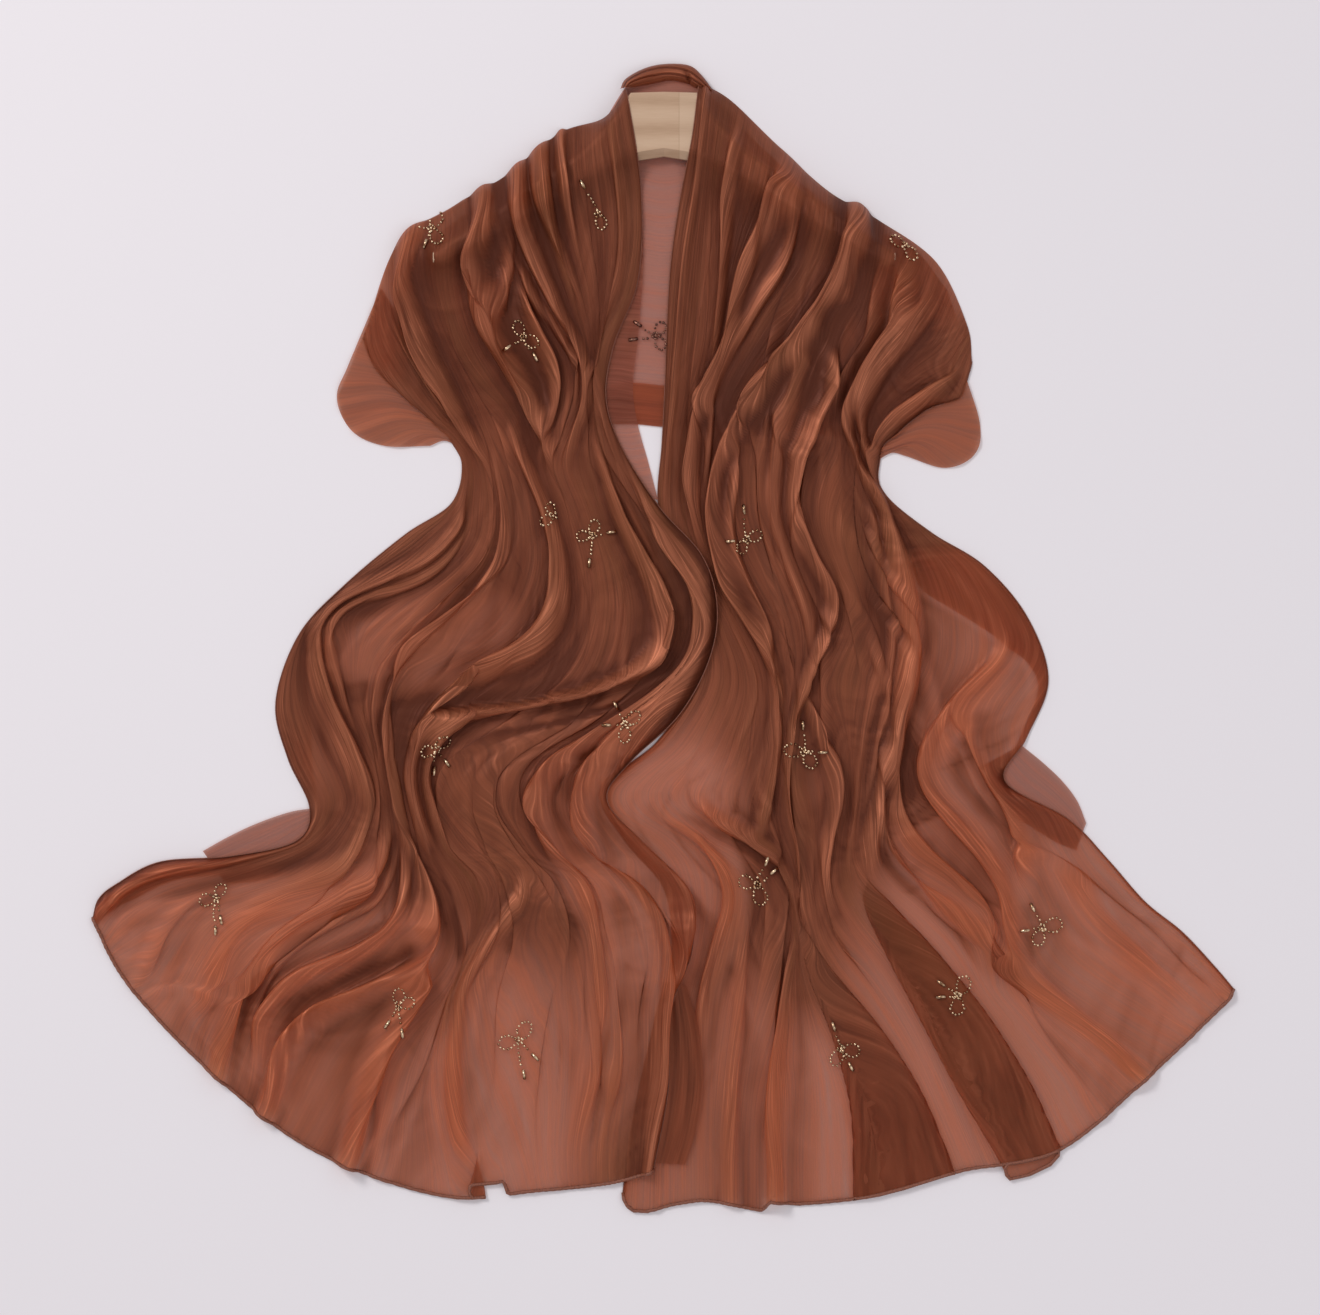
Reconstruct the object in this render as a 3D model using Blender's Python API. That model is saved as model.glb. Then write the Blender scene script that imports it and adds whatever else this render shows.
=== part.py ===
"""A long sheer scarf with rolled ends, laid flat over a plain wooden hanger.

The scarf is one length of cloth. It is built as the stretches that show: the back behind the
hanger, the roll at the nape, the left and right fronts that come over the hanger, and the strip
turned under at the left of the opening. Everything lies on a table at z = 0, with the hem towards
-Y. Each stretch is a thin wall on a net of sections, lifted by its folds and by what lies below it.
"""
import bmesh
import bpy
import numpy as np
from mathutils import Vector
from mathutils.bvhtree import BVHTree

# The plan is drawn on a grid of 0.8 mm steps, counted right and down from its top left corner.
PLAN_STEP = 0.0008
PLAN_CENTRE = (664.1, 637.5)

# Cloth and seams, in metres.
CLOTH_WALL = 0.0020
UNDER_WALL = 0.0012
STEEPEST_WALL = 3.0
SEAM_GAP = 0.0003
LAYER_GAP = 0.0006
HEM_RADIUS = 0.0014
HEM_GAP = 0.0005
HEM_SIDES = 6

# How finely the walls are cut: rows from the shoulder down, then rows in each lower section.
SHOULDER_ROWS = (0.0, 0.14, 0.36, 0.66, 1.0, 1.33, 1.66)
FIRST_LOWER_SECTION = 2
ROWS_IN_A_SECTION = 2
FRONT_COLUMNS = 42
BACK_GRID = (28, 13)
NAPE_GRID = (19, 9)
STRIP_GRID = (19, 5)
FLAP_GRID = (13, 5)
# Each cell of a wall is tried against the pieces below it at this many steps a side.
TRIES_IN_A_CELL = 4
# Sections over which a fold rises or dies out.
FADE = 1.6

# The hanger, in plan steps from its middle: distance out, upper edge and lower edge.
HANGER_MIDDLE = 664.0
HANGER_THICKNESS = 0.014
HANGER_ROUNDING = 0.0035
HANGER_UNDERCUT = 0.0060
HANGER_STATIONS = (
    # name, out, upper edge, lower edge
    ("neck", 0, 94, 158),
    ("neck side", 33, 95, 163),
    ("neck foot", 50, 117, 171),
    ("shoulder", 76, 147, 185),
    ("inner arm", 110, 171, 206),
    ("arm", 150, 198, 231),
    ("outer arm", 190, 226, 255),
    ("tip", 222, 247, 268),
    ("tip end", 230, 254, 264),
)

# The nets. Each row is a section across the cloth, and each column a line that its folds follow.
# left front: name, outer, wing, side, flank, middle, inner, lapel, opening
LEFT_SECTIONS = (
    ("shoulder", (338, 402), (364, 335), (397, 245), (452, 207), (507, 175), (560, 133), (604, 118), (626, 89)),
    ("yoke", (342, 421), (374, 372), (405, 300), (455, 270), (515, 245), (563, 210), (606, 195), (641, 190)),
    ("chest", (360, 437), (395, 400), (425, 352), (472, 325), (537, 305), (578, 290), (612, 282), (638, 280)),
    ("bust", (395, 446), (428, 423), (455, 393), (499, 372), (560, 355), (588, 352), (602, 348), (614, 345)),
    ("rib", (435, 445), (455, 437), (478, 425), (515, 412), (560, 402), (580, 400), (594, 398), (606, 398)),
    ("waist", (461, 462), (473, 464), (492, 464), (520, 463), (547, 461), (573, 458), (601, 454), (622, 448)),
    ("hip", (452, 503), (470, 508), (496, 514), (528, 516), (562, 515), (593, 512), (630, 510), (660, 508)),
    ("lap", (405, 535), (445, 545), (487, 558), (533, 565), (572, 566), (612, 565), (655, 562), (702, 556)),
    ("thigh", (345, 585), (378, 592), (445, 607), (520, 617), (575, 618), (617, 617), (664, 614), (717, 607)),
    ("knee", (299, 635), (324, 638), (402, 655), (485, 668), (553, 672), (603, 672), (652, 668), (709, 660)),
    ("calf", (276, 702), (325, 692), (383, 705), (432, 716), (497, 722), (560, 722), (612, 718), (679, 715)),
    ("turn", (288, 758), (350, 750), (386, 755), (412, 760), (446, 765), (492, 762), (550, 762), (630, 762)),
    ("bend", (310, 808), (362, 800), (393, 803), (415, 805), (440, 806), (482, 803), (532, 803), (607, 798)),
    ("fan", (296, 841), (338, 848), (395, 848), (424, 850), (452, 846), (503, 845), (555, 852), (637, 838)),
    ("flare", (231, 856), (290, 885), (375, 900), (436, 900), (480, 880), (527, 880), (590, 890), (688, 892)),
    ("spread", (160, 862), (228, 915), (322, 950), (432, 955), (490, 935), (545, 935), (602, 940), (692, 950)),
    ("skirt", (117, 884), (185, 945), (275, 1000), (400, 1020), (463, 1005), (535, 1005), (602, 1010), (671, 1010)),
    ("sweep", (99, 899), (154, 965), (240, 1034), (357, 1085), (452, 1091), (535, 1092), (605, 1092), (668, 1090)),
    ("hem", (93, 918), (128, 983), (209, 1069), (313, 1149), (441, 1195), (540, 1190), (607, 1183), (653, 1171)),
)
# right front: name, opening, lapel, inner, middle, flank, side, wing, outer
RIGHT_SECTIONS = (
    ("shoulder", (699, 83), (730, 100), (775, 143), (828, 191), (878, 220), (936, 262), (967, 325), (972, 362)),
    ("yoke", (692, 140), (722, 150), (765, 190), (812, 235), (862, 262), (918, 312), (946, 362), (968, 393)),
    ("chest", (680, 200), (713, 212), (748, 245), (792, 282), (842, 305), (893, 345), (922, 392), (978, 438)),
    ("bust", (671, 262), (706, 275), (732, 298), (768, 325), (818, 348), (868, 378), (896, 423), (955, 466)),
    ("rib", (667, 325), (700, 335), (718, 350), (750, 368), (797, 388), (850, 408), (873, 440), (903, 457)),
    ("waist", (665, 385), (694, 392), (705, 402), (735, 412), (785, 425), (843, 440), (864, 462), (879, 474)),
    ("hip", (662, 445), (690, 450), (712, 455), (745, 462), (790, 470), (838, 480), (870, 495), (889, 499)),
    ("lap", (658, 500), (692, 508), (709, 512), (745, 520), (790, 522), (835, 530), (885, 540), (933, 534)),
    ("thigh", (668, 555), (704, 565), (722, 572), (758, 572), (803, 572), (845, 578), (900, 585), (984, 566)),
    ("knee", (690, 615), (728, 625), (750, 625), (780, 625), (820, 622), (862, 628), (920, 630), (1027, 617)),
    ("calf", (697, 675), (745, 685), (775, 682), (793, 675), (822, 672), (868, 680), (930, 685), (1048, 680)),
    ("turn", (657, 741), (725, 745), (772, 740), (788, 735), (832, 728), (872, 735), (925, 738), (1026, 738)),
    ("bend", (588, 790), (700, 798), (765, 795), (790, 795), (842, 785), (878, 790), (925, 790), (1005, 781)),
    ("fan", (596, 838), (715, 843), (775, 845), (797, 850), (838, 840), (885, 848), (965, 835), (1068, 819)),
    ("flare", (625, 890), (738, 893), (785, 895), (805, 905), (850, 900), (918, 905), (1000, 885), (1108, 860)),
    ("spread", (655, 950), (725, 955), (780, 955), (818, 965), (878, 955), (955, 955), (1030, 940), (1145, 902)),
    ("skirt", (648, 1020), (705, 1020), (772, 1025), (838, 1030), (908, 1020), (985, 1010), (1070, 990), (1182, 932)),
    ("sweep", (635, 1110), (698, 1110), (765, 1110), (860, 1110), (935, 1090), (1020, 1080), (1115, 1040), (1214, 966)),
    ("hem", (630, 1207), (700, 1200), (768, 1205), (870, 1196), (963, 1170), (1058, 1150), (1148, 1076), (1236, 992)),
)
# back: name, top, upper, lower, hem
BACK_SECTIONS = (
    ("left fold", (400, 262), (376, 320), (358, 370), (352, 416)),
    ("left arm", (460, 218), (435, 290), (415, 370), (400, 437)),
    ("left chest", (520, 180), (510, 260), (490, 350), (464, 434)),
    ("left neck", (582, 152), (578, 240), (560, 340), (545, 428)),
    ("nape left", (629, 84), (628, 190), (625, 310), (622, 424)),
    ("nape", (664, 76), (664, 190), (664, 310), (664, 427)),
    ("nape right", (699, 84), (703, 190), (708, 310), (712, 428)),
    ("right neck", (752, 138), (760, 230), (772, 335), (785, 430)),
    ("right chest", (828, 205), (838, 275), (850, 360), (862, 448)),
    ("right arm", (898, 244), (910, 305), (916, 385), (914, 452)),
    ("right fold", (950, 306), (962, 348), (962, 395), (966, 436)),
)
# nape roll: name, outer, crest, inner
NAPE_SECTIONS = (
    ("left end", (614, 98), (620, 95), (626, 91)),
    ("left turn", (626, 79), (632, 83), (638, 87)),
    ("left", (646, 68), (650, 76), (654, 84)),
    ("middle", (668, 64), (669, 72), (670, 81)),
    ("right", (690, 66), (688, 75), (687, 84)),
    ("right turn", (703, 77), (698, 82), (693, 87)),
    ("right end", (714, 92), (708, 92), (702, 91)),
)
# strip turned under at the left of the opening: name, hidden edge, middle, open edge
STRIP_SECTIONS = (
    ("top", (618, 215), (630, 218), (643, 222)),
    ("upper", (615, 270), (629, 272), (643, 275)),
    ("bust", (604, 335), (622, 337), (638, 338)),
    ("middle", (601, 385), (618, 385), (633, 388)),
    ("band", (611, 425), (626, 426), (638, 425)),
    ("lower", (625, 462), (638, 463), (648, 461)),
    ("crossing", (644, 497), (651, 499), (658, 500)),
)

# Stretches that peep out from under a fold. Each row: name, edge that shows, edge hidden under the fold
LEFT_FLAP_SECTIONS = (
    ("top", (314, 808), (342, 812)),
    ("upper", (290, 812), (322, 840)),
    ("middle", (258, 823), (296, 866)),
    ("lower", (230, 836), (262, 880)),
    ("tip", (203, 851), (226, 884)),
)
RIGHT_FLAP_SECTIONS = (
    ("top", (1021, 745), (978, 768)),
    ("upper", (1042, 762), (1000, 806)),
    ("middle", (1062, 781), (1030, 826)),
    ("lower", (1077, 801), (1056, 842)),
    ("tip", (1086, 823), (1076, 850)),
)
CORNER_SECTIONS = (
    ("top", (686, 985), (652, 985)),
    ("upper", (698, 1032), (648, 1030)),
    ("middle", (701, 1082), (644, 1080)),
    ("lower", (695, 1130), (640, 1130)),
    ("foot", (684, 1163), (636, 1160)),
)

# The folds. Columns are counted from 0 across the net, heights and half widths are in millimetres.
# name, from section, to section, column at the start, half way, at the end, height, half width
LEFT_FOLDS = (
    ("wing edge", "shoulder", "rib", 0.8, 1.0, 0.8, 6, 12),
    ("wing ridge", "shoulder", "waist", 1.9, 1.9, 1.9, 10, 13),
    ("sleeve crease", "shoulder", "waist", 3.7, 3.2, 3.6, 9, 14),
    ("bosom crease", "shoulder", "waist", 4.4, 4.3, 4.8, 9, 12),
    ("neck crease", "shoulder", "rib", 5.2, 5.1, 5.7, 7, 9),
    ("neck band", "yoke", "hip", 6.6, 6.3, 6.5, 6, 8),
    ("outer roll", "waist", "bend", 0.6, 0.4, 0.5, 8, 15),
    ("outer swag", "waist", "fan", 1.3, 1.0, 1.5, 12, 14),
    ("side swag", "rib", "flare", 2.5, 1.9, 2.0, 9, 14),
    ("middle swag", "waist", "flare", 3.6, 3.2, 2.9, 13, 15),
    ("knot swag", "hip", "spread", 4.6, 3.9, 3.9, 12, 15),
    ("inner swag", "waist", "flare", 5.7, 5.3, 5.2, 8, 12),
    ("lapel swag", "waist", "flare", 6.6, 6.2, 6.2, 10, 12),
    ("turned edge", "bend", "sweep", 0.4, 0.3, 0.4, 7, 18),
    ("outer flute", "fan", "hem", 2.1, 2.0, 2.2, 12, 18),
    ("flute", "bend", "hem", 3.3, 3.0, 3.4, 13, 18),
    ("middle flute", "flare", "hem", 4.6, 4.0, 4.3, 9, 16),
    ("inner flute", "flare", "hem", 5.6, 5.8, 5.7, 7, 18),
    ("opening flute", "fan", "hem", 6.7, 6.8, 6.7, 6, 14),
)
RIGHT_FOLDS = (
    ("neck ridge", "shoulder", "rib", 1.2, 1.3, 1.2, 7, 12),
    ("first ridge", "shoulder", "hip", 2.5, 2.3, 1.2, 11, 14),
    ("second ridge", "shoulder", "lap", 3.5, 3.4, 2.4, 12, 14),
    ("sleeve crease", "shoulder", "hip", 4.5, 4.9, 4.3, 10, 14),
    ("wing ridge", "shoulder", "hip", 5.7, 5.8, 5.8, 10, 12),
    ("wing edge", "shoulder", "rib", 6.5, 6.4, 6.7, 6, 12),
    ("crossing fold", "hip", "turn", 0.9, 0.6, 0.7, 5, 12),
    ("inner stem", "hip", "flare", 2.2, 1.4, 1.9, 9, 12),
    ("middle stem", "waist", "flare", 4.1, 4.1, 3.2, 12, 14),
    ("side stem", "waist", "flare", 5.4, 5.7, 4.6, 13, 15),
    ("outer roll", "hip", "turn", 6.7, 6.5, 6.6, 9, 16),
    ("outer swag", "knee", "flare", 6.7, 6.0, 6.4, 10, 16),
    ("inner flute", "flare", "hem", 1.9, 2.0, 2.0, 7, 16),
    ("middle flute", "bend", "hem", 3.1, 2.9, 3.3, 11, 18),
    ("side flute", "fan", "hem", 4.6, 4.3, 4.6, 11, 18),
    ("outer flute", "bend", "hem", 6.1, 5.4, 5.3, 12, 18),
    ("corner flute", "flare", "hem", 6.5, 6.4, 6.4, 6, 18),
)
BACK_FOLDS = (
    ("nape crease", "nape left", "nape right", 1.14, 1.13, 1.18, 2.5, 8),
)
NAPE_FOLDS = (
    ("roll", "left end", "right end", 1.0, 1.0, 1.0, 8, 10),
)
STRIP_FOLDS = (
    ("edge", "top", "crossing", 1.6, 1.6, 1.6, 1, 8),
)

RUST = (0.250, 0.085, 0.048)
DARK_RUST = (0.160, 0.050, 0.028)
PALE_WOOD = (0.640, 0.460, 0.300)


def plan(points):
    """Turn plan steps into metres in the part's frame."""
    points = np.asarray(points, float)
    x = (points[..., 0] - PLAN_CENTRE[0]) * PLAN_STEP
    y = (PLAN_CENTRE[1] - points[..., 1]) * PLAN_STEP
    return np.stack([x, y], axis=-1)


def smooth_through(values, places):
    """Read a smooth curve through evenly spaced values at fractional places along it."""
    places = np.asarray(places, float)
    lower = np.clip(np.floor(places).astype(int), 0, len(values) - 2)
    t = (places - lower).reshape((-1,) + (1,) * (values.ndim - 1))
    before = 2 * values[:1] - values[1:2]
    after = 2 * values[-1:] - values[-2:-1]
    padded = np.concatenate([before, values, after])
    a, b, c, d = (padded[lower + k] for k in range(4))
    return 0.5 * (2 * b + (c - a) * t + (2 * a - 5 * b + 4 * c - d) * t ** 2 + (3 * b - a - 3 * c + d) * t ** 3)


def smooth_step(t):
    t = np.clip(t, 0, 1)
    return t * t * (3 - 2 * t)


def net_points(sections, along, across):
    """Plan points of a net, at fractional section numbers along and column numbers across it."""
    points = plan([row[1:] for row in sections])
    wide = smooth_through(points.swapaxes(0, 1), across).swapaxes(0, 1)
    return smooth_through(wide, along)


def places_between(places, parts):
    """Cut each step between the places into equal parts."""
    count = (len(places) - 1) * parts + 1
    return np.interp(np.arange(count) / parts, np.arange(len(places)), places)


def even_places(sections, grid):
    """Even places along the sections and across the columns of a net."""
    rows, columns = grid
    return np.linspace(0, len(sections) - 1, rows), np.linspace(0, len(sections[0]) - 2, columns)


def fold_rise(sections, folds, along, across, net):
    """Height of the folds at each point of the net. A fold is a soft ridge that runs down the net."""
    names = [row[0] for row in sections]
    steps = np.linalg.norm(np.diff(net, axis=1), axis=-1)
    reach = np.concatenate([np.zeros((len(net), 1)), np.cumsum(steps, axis=1)], axis=1)
    last = len(names) - 1
    squares = np.zeros(net.shape[:2])
    for _, start, end, at_start, half_way, at_end, height, half_width in folds:
        first, final = names.index(start), names.index(end)
        t = np.clip((along - first) / (final - first), 0, 1)
        column = at_start * (1 - t) * (1 - 2 * t) + 4 * half_way * t * (1 - t) + at_end * t * (2 * t - 1)
        fade_in = np.ones_like(along) if first == 0 else smooth_step((along - first) / FADE + 0.5)
        fade_out = np.ones_like(along) if final == last else smooth_step((final - along) / FADE + 0.5)
        crest = np.array([np.interp(c, across, row) for c, row in zip(column, reach)])
        away = (reach - crest[:, None]) / (half_width * 0.001)
        ridge = np.clip(1 - away ** 2, 0, 1) ** 2
        squares += (height * 0.001 * ridge * (fade_in * fade_out)[:, None]) ** 2
    return np.sqrt(squares)


def top_below(point, trees):
    """Height of the highest piece below a plan point, or 0 on the table."""
    heights = [0.0]
    for tree in trees:
        hit = tree.ray_cast(Vector((point[0], point[1], 1.0)), Vector((0, 0, -1)))[0]
        if hit is not None:
            heights.append(hit.z)
    return max(heights)


def clearance(sections, along, across, trees):
    """Lowest height at each point of the net that keeps each cell clear of the pieces below it."""
    tries = TRIES_IN_A_CELL
    fine = net_points(sections, places_between(along, tries), places_between(across, tries))
    tops = np.array([[top_below(point, trees) for point in row] for row in fine])
    rows, columns = len(along) - 1, len(across) - 1
    cells = np.zeros((rows + 2, columns + 2))
    for row in range(rows):
        for column in range(columns):
            cell = tops[row * tries:(row + 1) * tries + 1, column * tries:(column + 1) * tries + 1]
            cells[row + 1, column + 1] = cell.max()
    highest = np.max([cells[:-1, :-1], cells[1:, :-1], cells[:-1, 1:], cells[1:, 1:]], axis=0)
    return np.where(highest > 0, highest + LAYER_GAP, 0.0)


def bridge_hollows(heights, passes=2):
    """Pull the cloth taut across narrow hollows. Points only rise, and the edges stay where they are."""
    heights = heights.copy()
    for _ in range(passes):
        mean = (heights[:-2, 1:-1] + heights[2:, 1:-1] + heights[1:-1, :-2] + heights[1:-1, 2:]) / 4
        heights[1:-1, 1:-1] = np.maximum(heights[1:-1, 1:-1], mean)
    return heights


def upright_wall(net, underside, thickness):
    """Height of the wall measured straight up. It grows with the slope, so that the cloth keeps its own."""
    steepest = np.zeros(underside.shape)
    for axis in (0, 1):
        rise = np.abs(np.diff(underside, axis=axis))
        run = np.linalg.norm(np.diff(net, axis=axis), axis=-1)
        slope = rise / run
        before = np.concatenate([np.take(slope, [0], axis), slope], axis)
        after = np.concatenate([slope, np.take(slope, [-1], axis)], axis)
        steepest = np.maximum(steepest, np.maximum(before, after))
    return thickness * np.minimum(np.hypot(1, steepest), STEEPEST_WALL)


def new_object(name, vertices, faces, material):
    mesh = bpy.data.meshes.new(name)
    mesh.from_pydata(vertices, [], faces)
    shaped = bmesh.new()
    shaped.from_mesh(mesh)
    bmesh.ops.recalc_face_normals(shaped, faces=shaped.faces)
    shaped.to_mesh(mesh)
    shaped.free()
    mesh.shade_smooth()
    mesh.set_sharp_from_angle(angle=np.radians(50))
    mesh.materials.append(material)
    piece = bpy.data.objects.new(name, mesh)
    bpy.context.collection.objects.link(piece)
    return piece


def wall_object(name, net, underside, wall, material):
    """A closed wall between an underside and a top that share the same plan net."""
    rows, columns = net.shape[:2]
    count = rows * columns
    bottom = np.dstack([net, underside]).reshape(-1, 3)
    top = np.dstack([net, underside + wall]).reshape(-1, 3)
    faces = []
    for row in range(rows - 1):
        for column in range(columns - 1):
            corner = row * columns + column
            quad = (corner, corner + 1, corner + columns + 1, corner + columns)
            faces.append(quad)
            faces.append(tuple(count + k for k in reversed(quad)))
    rim = list(range(columns))
    rim += [row * columns + columns - 1 for row in range(1, rows)]
    rim += [(rows - 1) * columns + k for k in range(columns - 2, -1, -1)]
    rim += [row * columns for row in range(rows - 2, 0, -1)]
    for this, following in zip(rim, rim[1:] + rim[:1]):
        faces.append((this, count + this, count + following, following))
    vertices = [tuple(point) for point in np.concatenate([bottom, top])]
    return new_object(name, vertices, faces, material)


def tree_of(piece):
    shaped = bmesh.new()
    shaped.from_mesh(piece.data)
    tree = BVHTree.FromBMesh(shaped)
    shaped.free()
    return tree


def cloth(name, sections, folds, places, trees, material, thickness=CLOTH_WALL):
    """One stretch of the scarf, laid over the pieces below it. Returns its object, net and heights."""
    along, across = places
    net = net_points(sections, along, across)
    resting = bridge_hollows(clearance(sections, along, across, trees))
    underside = resting + fold_rise(sections, folds, along, across, net)
    wall = upright_wall(net, underside, thickness)
    return wall_object(name, net, underside, wall, material), net, underside, wall


def loft_object(name, rings, material):
    """A closed bar through rings of the same number of points, with flat ends."""
    sides = len(rings[0])
    vertices = [tuple(point) for ring in rings for point in ring]
    faces = [tuple(range(sides)), tuple(range(len(vertices) - sides, len(vertices)))]
    for ring in range(len(rings) - 1):
        for side in range(sides):
            this = ring * sides + side
            beside = ring * sides + (side + 1) % sides
            faces.append((this, beside, beside + sides, this + sides))
    return new_object(name, vertices, faces, material)


def hem_object(name, net, underside, wall, material):
    """The rolled end of a front: a thin tube along its last row, a small gap outside it."""
    edge = net[-1]
    tangent = np.gradient(edge, axis=0)
    tangent /= np.linalg.norm(tangent, axis=1)[:, None]
    normal = np.column_stack([tangent[:, 1], -tangent[:, 0]])
    normal *= np.sign(np.sum(normal * (edge - net[-2]), axis=1))[:, None]
    centre = edge + normal * (HEM_RADIUS + HEM_GAP)
    height = np.maximum(underside[-1] + wall[-1] / 2, HEM_RADIUS)
    rings = []
    for (x, y), z, (across_x, across_y) in zip(centre, height, normal):
        ring = []
        for turn in np.arange(HEM_SIDES) / HEM_SIDES * 2 * np.pi:
            out, up = HEM_RADIUS * np.cos(turn), HEM_RADIUS * np.sin(turn)
            ring.append((x + out * across_x, y + out * across_y, z + up))
        rings.append(ring)
    return loft_object(name, rings, material)


def hanger_object(material, floor):
    """A plain flat hanger: a rounded bar that follows the arms, cut back along its lower edge."""
    arm = [(-out, upper, lower) for _, out, upper, lower in reversed(HANGER_STATIONS[1:])]
    arm += [(out, upper, lower) for _, out, upper, lower in HANGER_STATIONS]
    top = floor + HANGER_THICKNESS
    rings = []
    for out, upper, lower in arm:
        x, high = plan((HANGER_MIDDLE + out, upper))
        low = plan((HANGER_MIDDLE, lower))[1]
        r = min(HANGER_ROUNDING, (high - low) / 5)
        cut = min(HANGER_UNDERCUT, (high - low) / 4)
        outline = (
            (high - r, floor), (high, floor + r), (high, top - r), (high - r, top),
            (low + cut, top), (low, top - cut), (low, floor + r), (low + r, floor),
        )
        rings.append([(x, y, z) for y, z in outline])
    return loft_object("hanger", rings, material)


def hem_band_object(name, net, top, start, end, material):
    """The turned edge of the back: a strip lying on it, made from the back's own points, moved out."""
    names = [row[0] for row in BACK_SECTIONS]
    row_of = (len(net) - 1) / (len(names) - 1)
    rows = slice(round(names.index(start) * row_of), round(names.index(end) * row_of) + 1)
    lift = top[rows, -2:] + SEAM_GAP
    return wall_object(name, net[rows, -2:], lift, np.full(lift.shape, UNDER_WALL), material)


def make_material(name, colour, roughness):
    made = bpy.data.materials.new(name)
    made.use_nodes = True
    shader = made.node_tree.nodes["Principled BSDF"]
    shader.inputs["Base Color"].default_value = (*colour, 1)
    shader.inputs["Roughness"].default_value = roughness
    shader.inputs["Metallic"].default_value = 0
    return made


def build():
    for piece in list(bpy.data.objects):
        bpy.data.objects.remove(piece)

    sheer = make_material("sheer_cloth", RUST, 0.45)
    rolled = make_material("rolled_edge", DARK_RUST, 0.50)
    wood = make_material("pale_wood", PALE_WOOD, 0.55)

    back, back_net, back_under, back_wall = cloth(
        "back_panel", BACK_SECTIONS, BACK_FOLDS, even_places(BACK_SECTIONS, BACK_GRID), [], sheer)
    band = hem_band_object("back_hem_band", back_net, back_under + back_wall, "left neck", "right neck", rolled)
    below = [tree_of(back), tree_of(band)]

    nape, *_ = cloth("nape_roll", NAPE_SECTIONS, NAPE_FOLDS, even_places(NAPE_SECTIONS, NAPE_GRID), below, sheer)
    strip, *_ = cloth(
        "left_turned_strip", STRIP_SECTIONS, STRIP_FOLDS, even_places(STRIP_SECTIONS, STRIP_GRID), below, sheer)
    hanger = hanger_object(wood, CLOTH_WALL + SEAM_GAP)
    below += [tree_of(nape), tree_of(strip), tree_of(hanger)]
    for name, sections in (("left_under_flap", LEFT_FLAP_SECTIONS), ("right_under_flap", RIGHT_FLAP_SECTIONS)):
        flap, *_ = cloth(name, sections, (), even_places(sections, FLAP_GRID), [], sheer, UNDER_WALL)
        below.append(tree_of(flap))

    last = len(LEFT_SECTIONS) - 1
    lower_rows = (last - FIRST_LOWER_SECTION) * ROWS_IN_A_SECTION + 1
    along = np.concatenate([SHOULDER_ROWS, np.linspace(FIRST_LOWER_SECTION, last, lower_rows)])
    across = np.linspace(0, len(LEFT_SECTIONS[0]) - 2, FRONT_COLUMNS)

    right, *right_edge = cloth("right_front", RIGHT_SECTIONS, RIGHT_FOLDS, (along, across), below, sheer)
    hem_object("right_end_hem", *right_edge, rolled)
    below.append(tree_of(right))
    corner, *_ = cloth(
        "left_turned_corner", CORNER_SECTIONS, (), even_places(CORNER_SECTIONS, FLAP_GRID), below, sheer, UNDER_WALL)
    below.append(tree_of(corner))
    _, *left_edge = cloth("left_front", LEFT_SECTIONS, LEFT_FOLDS, (along, across), below, sheer)
    hem_object("left_end_hem", *left_edge, rolled)


build()
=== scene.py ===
"""Looks of the long sheer scarf that lies flat over a wooden hanger.

The cloth is a set of thin sheets on the same nets as the solids, with finer folds that lean over,
edges turned under, streaks along the threads, rolled hems and small bows of gold beads.
"""

import bmesh
import bpy
import numpy as np
from mathutils import Matrix, Vector
from mathutils.bvhtree import BVHTree


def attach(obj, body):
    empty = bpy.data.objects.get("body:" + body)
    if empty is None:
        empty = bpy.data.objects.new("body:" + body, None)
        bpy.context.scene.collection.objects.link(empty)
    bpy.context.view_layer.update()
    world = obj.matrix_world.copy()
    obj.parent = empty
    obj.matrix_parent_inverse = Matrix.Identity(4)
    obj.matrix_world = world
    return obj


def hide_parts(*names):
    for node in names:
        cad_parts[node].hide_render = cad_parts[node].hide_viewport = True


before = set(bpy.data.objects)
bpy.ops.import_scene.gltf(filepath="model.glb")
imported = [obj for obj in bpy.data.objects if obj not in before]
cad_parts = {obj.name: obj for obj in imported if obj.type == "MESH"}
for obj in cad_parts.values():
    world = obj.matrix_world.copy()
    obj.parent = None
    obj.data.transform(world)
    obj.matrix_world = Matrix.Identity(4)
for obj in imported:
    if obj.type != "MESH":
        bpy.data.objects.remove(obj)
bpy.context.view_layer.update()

# The plan is drawn on a grid of 0.8 mm steps, counted right and down from its top left corner.
PLAN_STEP = 0.0008
PLAN_CENTRE = (664.1, 637.5)
VIEW_SIZE = (1320, 1315)
CAMERA_HEIGHT = 3.2
SENSOR_WIDTH = 36.0
FLOOR_EDGE = 6.0
FLOOR_DROP = 0.0002

# Cloth, in metres.
MILLIMETRE = 0.001
CUT_WIDTH = 0.75
LAID_LIFT = 0.0006
FLAP_LIFT = 0.0005
CORNER_LIFT = 0.0008
SHEET_LIFT = 0.0007
UNDER_LIFT = 0.0003
TURN_LIFT = 0.0016
TURN_SLOPE = 0.010
LAYER_LIFT = 0.0011
SHOULDER_ROUNDING = 0.012
EDGE_ROUNDING = 0.006
HEM_RADIUS = 0.0014
EDGE_RADIUS = 0.00045
# Share by which the rolled hems grow thicker and thinner, and its turn from point to point.
HEM_LUMPS = 0.12
LUMP_TURN = 1.9
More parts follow.
